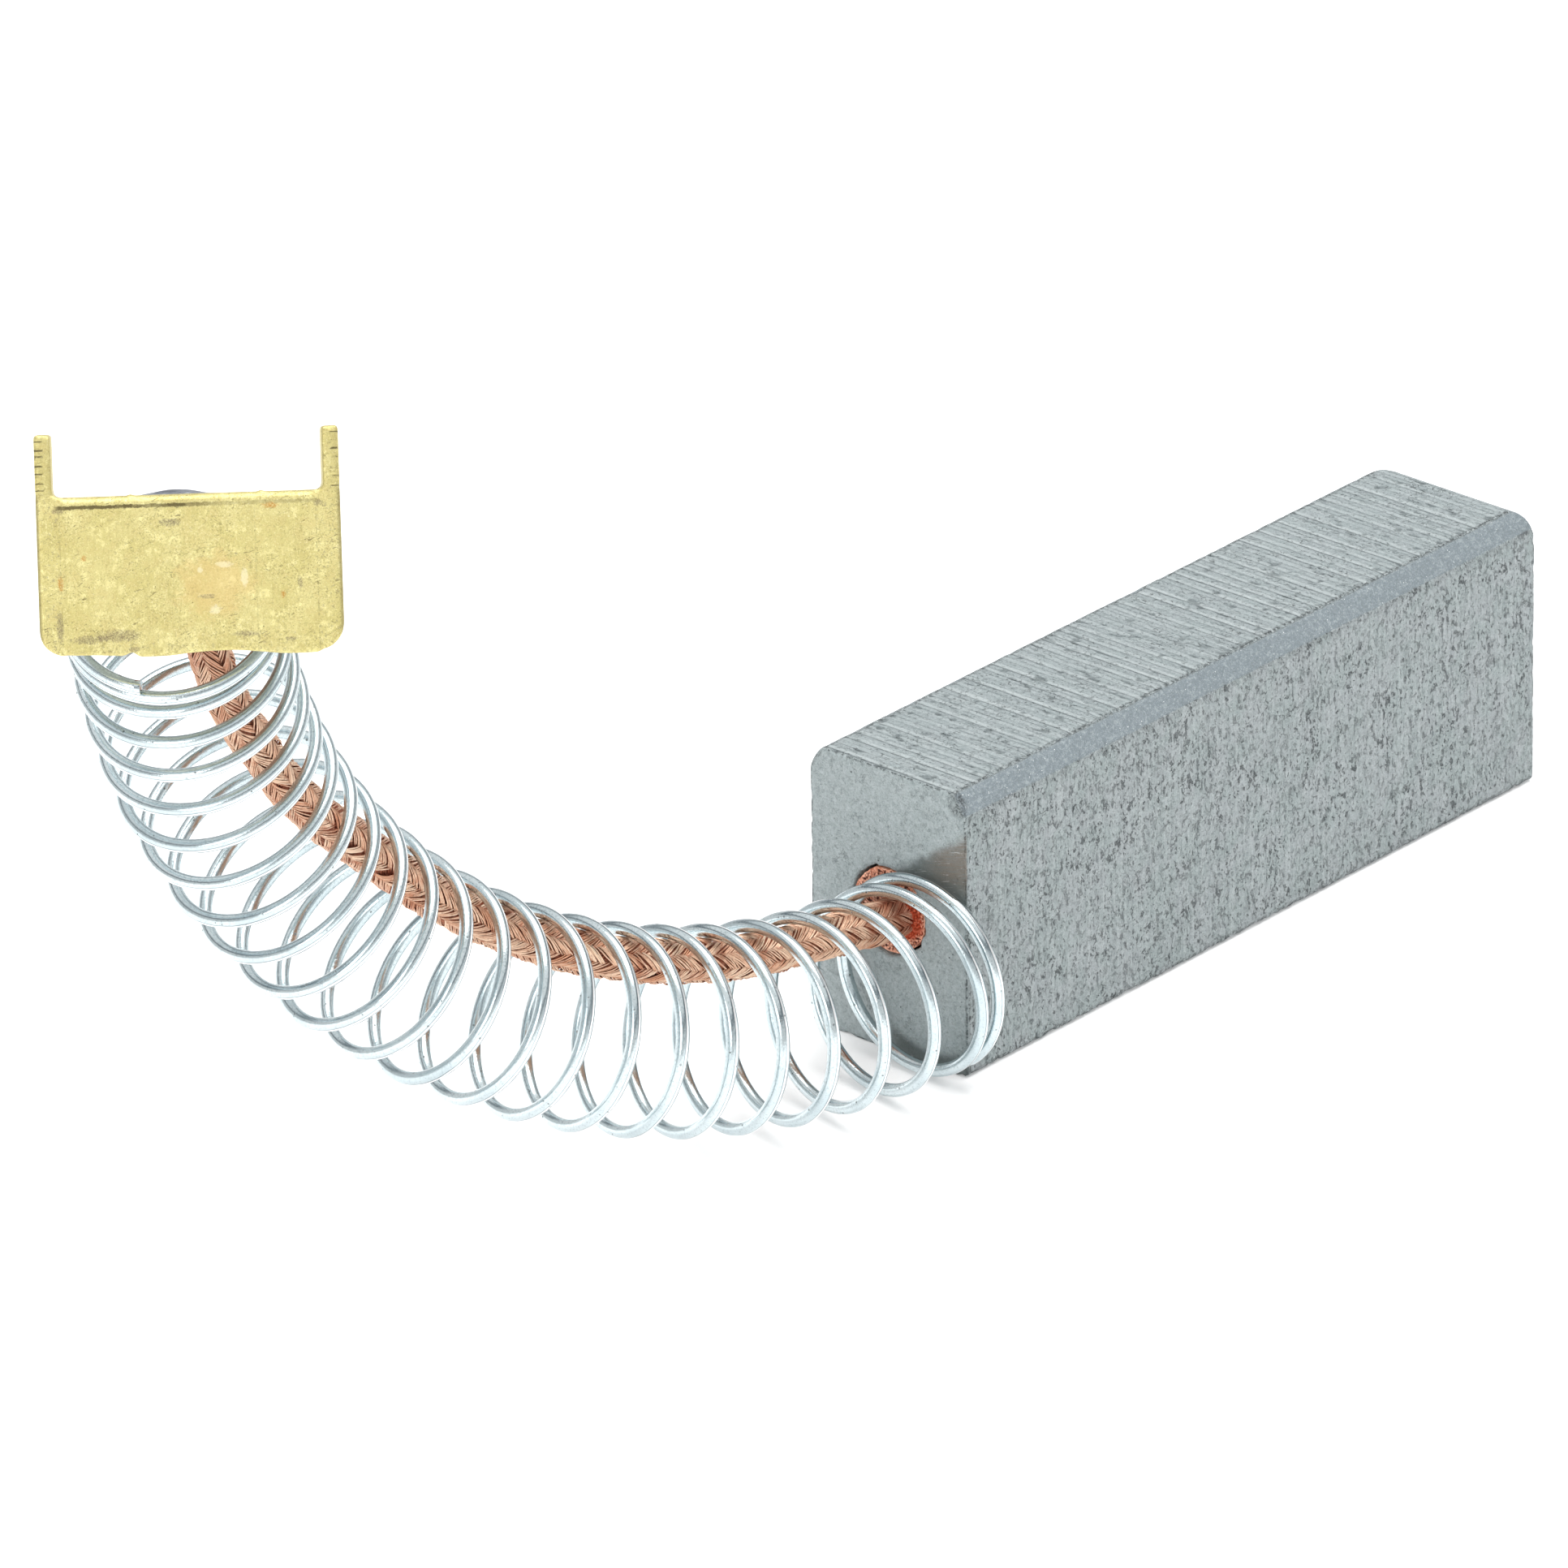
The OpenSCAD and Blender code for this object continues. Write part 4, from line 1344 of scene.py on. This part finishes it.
def brass_finish():
    """Mottled brass with olive grain, dark specks, stains, and darker cut edges."""
    material, place = new_finish("old_brass")
    local = carried(place, "fold", 1)
    across, back, up = split(local)
    front = (back + TERM_DEPTH / 2).step(0.3, 0.1)
    mottle = local.noise(1.2, 4, 0.65)
    cloud = local.noise(0.3, 4, 0.65)
    grain = local.noise(0.05, 3, 0.75)
    soft_grain = local.noise(0.11, 3, 0.7)
    rolled = local.scaled(1.6, 1.0, 0.35).noise(0.22, 4, 0.7)
    worn = local.noise(0.9, 3, 0.6).step(0.4, 0.6)
    strips = (abs(across) - 3.82).step(0.0, 0.1) * up.step(0.2, 0.0) * front
    foot = (up + 4.1).step(0.1, -0.3)
    stained = local.noise(0.14, 4, 0.75).step(0.55, 0.66) * (0.15 + 0.85 * strips + 0.5 * foot * front)
    scratch = brass_scratches(local)
    specks = local.noise(0.1, 3, 0.7).step(0.66, 0.71) * local.noise(0.5, 3).step(0.42, 0.58)
    rim = (abs(across) - (TERM_W / 2 - 0.14)).step(0.0, 0.12) * up.step(0.15, -0.05) * front
    cut, rungs, ragged_edge = cut_edges(local, across, up, front)
    under = up.step(-0.2, -0.4) * (back + TERM_DEPTH / 2).step(0.35, 0.45)
    colour = mottle.step(0.35, 0.65).mix(linear(210, 198, 130), linear(219, 208, 145))
    colour = painted(colour, [
        (cloud.step(0.5, 0.6) * 0.4, 206, 188, 122),
        (cloud.step(0.46, 0.36) * 0.45, 250, 240, 176),
        (rolled.step(0.52, 0.62) * 0.4, 196, 182, 116),
        (soft_grain.step(0.55, 0.64) * (0.25 + 0.4 * worn), 168, 154, 98),
        (grain.step(0.53, 0.66) * (0.25 + 0.35 * worn), 150, 136, 82),
        (grain.step(0.46, 0.34) * 0.35, 254, 248, 206),
        (stained.least(1.0) * 0.5, 120, 108, 90),
        (scratch * (0.2 + 0.5 * worn), 112, 100, 60),
        (specks * 0.75, 74, 66, 42),
        *brass_marks(local, across, up, front),
        (rim * 0.55, 120, 108, 68),
        (cut * 0.15, 150, 138, 88),
        (cut * rungs * ragged_edge * 0.85, 78, 70, 44),
        (under * 0.75, 214, 218, 218),
    ])
    roughness = 0.36 + 0.2 * mottle + 0.2 * specks + 0.1 * grain
    relief = grain * 0.5 + cloud - specks * 1.2 - scratch * 0.6
    finish_surface(place, colour, roughness, relief, 0.012, metallic=0.7)
    return material


dress(terminal, brass_finish(), "terminal")

# %% [markdown]
# The braid's end is fixed in the web with a low drop of solder. It is a dome on a disc of
# rings, with a few lumps, a soft edge, and a closed underside.

# %% The solder
SOLDER_R, SOLDER_H = 1.15, 0.15
SOLDER_SECTORS, SOLDER_RINGS, UNDER_RINGS = 120, 30, 6
SOLDER_LEAST = 0.04


def make_solder():
    """Height falls from the middle to the edge as a part of a sphere, with small lumps."""
    angle = np.linspace(0, TURN, SOLDER_SECTORS, endpoint=False)
    share = np.concatenate([
        np.linspace(SOLDER_LEAST, 1, SOLDER_RINGS), np.linspace(0.98, SOLDER_LEAST, UNDER_RINGS),
    ])[:, None]
    on_top = (np.arange(len(share)) < SOLDER_RINGS)[:, None]
    wander = 1 - 0.04 * (1 + drift(circle(angle), 0.6, 95))
    across, back = (share * SOLDER_R * wander * part for part in (np.cos(angle), np.sin(angle)))
    local = joined(across, back, SOLDER_H * (1 - share ** 2) ** 1.7 * on_top)
    local[..., 2] += 0.02 * drift(local, 0.45, 97) * (1 - share ** 4) * on_top
    count = share.size * SOLDER_SECTORS
    local = np.vstack([local.reshape(-1, 3), [0, 0, SOLDER_H], [0, 0, 0]])
    faces = [
        band_faces(len(share), SOLDER_SECTORS)[:, ::-1],
        fan_faces(SOLDER_SECTORS, count),
        fan_faces(SOLDER_SECTORS, count + 1, first=count - SOLDER_SECTORS, flip=True),
    ]
    return mesh_object("solder_drop", HOLE_AT + local @ TERM_WAYS, faces)


def solder_finish():
    """Dull grey solder, brighter where it froze smooth, with specks of flux."""
    material, place = new_finish("frozen_solder")
    cloud = place.noise(0.5, 4, 0.6)
    fine = place.noise(0.08, 2, 0.6)
    colour = cloud.step(0.35, 0.65).mix(linear(92, 98, 110), linear(146, 152, 162))
    colour = painted(colour, [
        (cloud.step(0.56, 0.66) * 0.6, 214, 218, 224),
        (fine.step(0.6, 0.72) * 0.6, 52, 48, 44),
    ])
    finish_surface(place, colour, 0.28 + 0.25 * cloud, cloud + fine * 0.4, 0.02, metallic=0.9)
    return material


solder = make_solder()
dress(solder, solder_finish(), "solder")

# %% [markdown]
# The studio is plain: a wide pale floor, and a pale room that lights the brush from all
# sides. The floor glows faintly, like a light table, so the brush throws little shadow.
# A mirror of a metal wire needs something to show, so the room is not even. It has a
# bright ceiling, bright walls, and a much darker ring between them, which draws the thin
# dark line along each turn of the spring. Two soft lamps keep the top faces the lightest.

# %% The studio
FLOOR_SIZE, FLOOR_POINTS, FLOOR_Z = 3000.0, 5, -0.02
FLOOR_GLOW = 0.22
ROOM_STOPS = (
    (0.0, (1, 1, 1)), (0.68, (1, 1, 1)), (0.7, (0.2, 0.24, 0.27)), (0.76, (0.2, 0.24, 0.27)),
    (0.78, (1.15, 1.15, 1.15)), (1.0, (1.3, 1.3, 1.3)),
)
ROOM_STRENGTH = 0.76
LAMPS = (("ceiling_lamp", (0.05, -0.05, 0.6), 3.0, 0.5), ("near_lamp", (-0.65, -0.15, 0.25), 0.9, 0.3))
LAMP_TARGET = Vector((-0.016, 0, 0.008))


def make_floor():
    """A wide flat grid just under the brush."""
    steps = np.linspace(-FLOOR_SIZE, FLOOR_SIZE, FLOOR_POINTS)
    points = joined(steps[None, :], steps[:, None], FLOOR_Z).reshape(-1, 3)
    floor = mesh_object("studio_floor", points, [band_faces(FLOOR_POINTS, FLOOR_POINTS, closed=False)])
    material, place = new_finish("floor_paper")
    colour = place.noise(40, 2).mix((0.93, 0.93, 0.93, 1.0), (0.95, 0.95, 0.95, 1.0))
    glow = {"Emission Color": (1, 1, 1, 1), "Emission Strength": FLOOR_GLOW}
    finish_surface(place, colour, 0.9, place.noise(1.0), 0.002, **glow)
    floor.data.materials.append(material)
    floor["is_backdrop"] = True


def make_room():
    """Light from all round, by height: walls, a darker ring, and a bright ceiling."""
    world = bpy.data.worlds.new("studio")
    world.use_nodes = True
    world.node_tree.nodes.clear()
    start = Flow(world.node_tree)
    up = split(start.node("TexCoord", {}))[2]
    colour = up.node("ValToRGB", {0: up * 0.5 + 0.5})
    stops = colour.socket.node.color_ramp.elements
    stops.remove(stops[1])
    for height, shade in ROOM_STOPS:
        stop = stops.new(height) if height > 0 else stops[0]
        stop.color = (*shade, 1)
    sky = start.node("Background", {"Color": colour, "Strength": ROOM_STRENGTH})
    start.node("OutputWorld", {"Surface": sky})
    bpy.context.scene.world = world


def make_lamp(name, at, power, size):
    """A square soft lamp that faces the middle of the brush."""
    lamp = bpy.data.lights.new(name, "AREA")
    lamp.energy = power
    lamp.size = size
    stand = bpy.data.objects.new(name, lamp)
    stand.location = Vector(at)
    stand.rotation_euler = (LAMP_TARGET - stand.location).to_track_quat("-Z", "Y").to_euler()
    bpy.context.scene.collection.objects.link(stand)


make_floor()
make_room()
for lamp in LAMPS:
    make_lamp(*lamp)
bpy.context.scene.view_settings.view_transform = "Standard"
print("lamps:", ", ".join(lamp[0] for lamp in LAMPS))

# %% [markdown]
# Last, the dressed brush is measured against the solid model.

# %% Measure and finish
boxes = {
    "cad": [list(corner) for corner in cad_box],
    "visual": [list(corner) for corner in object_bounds()],
}
for name, box in boxes.items():
    print(name, "box in mm:", [[round(1000 * part, 2) for part in corner] for corner in box])
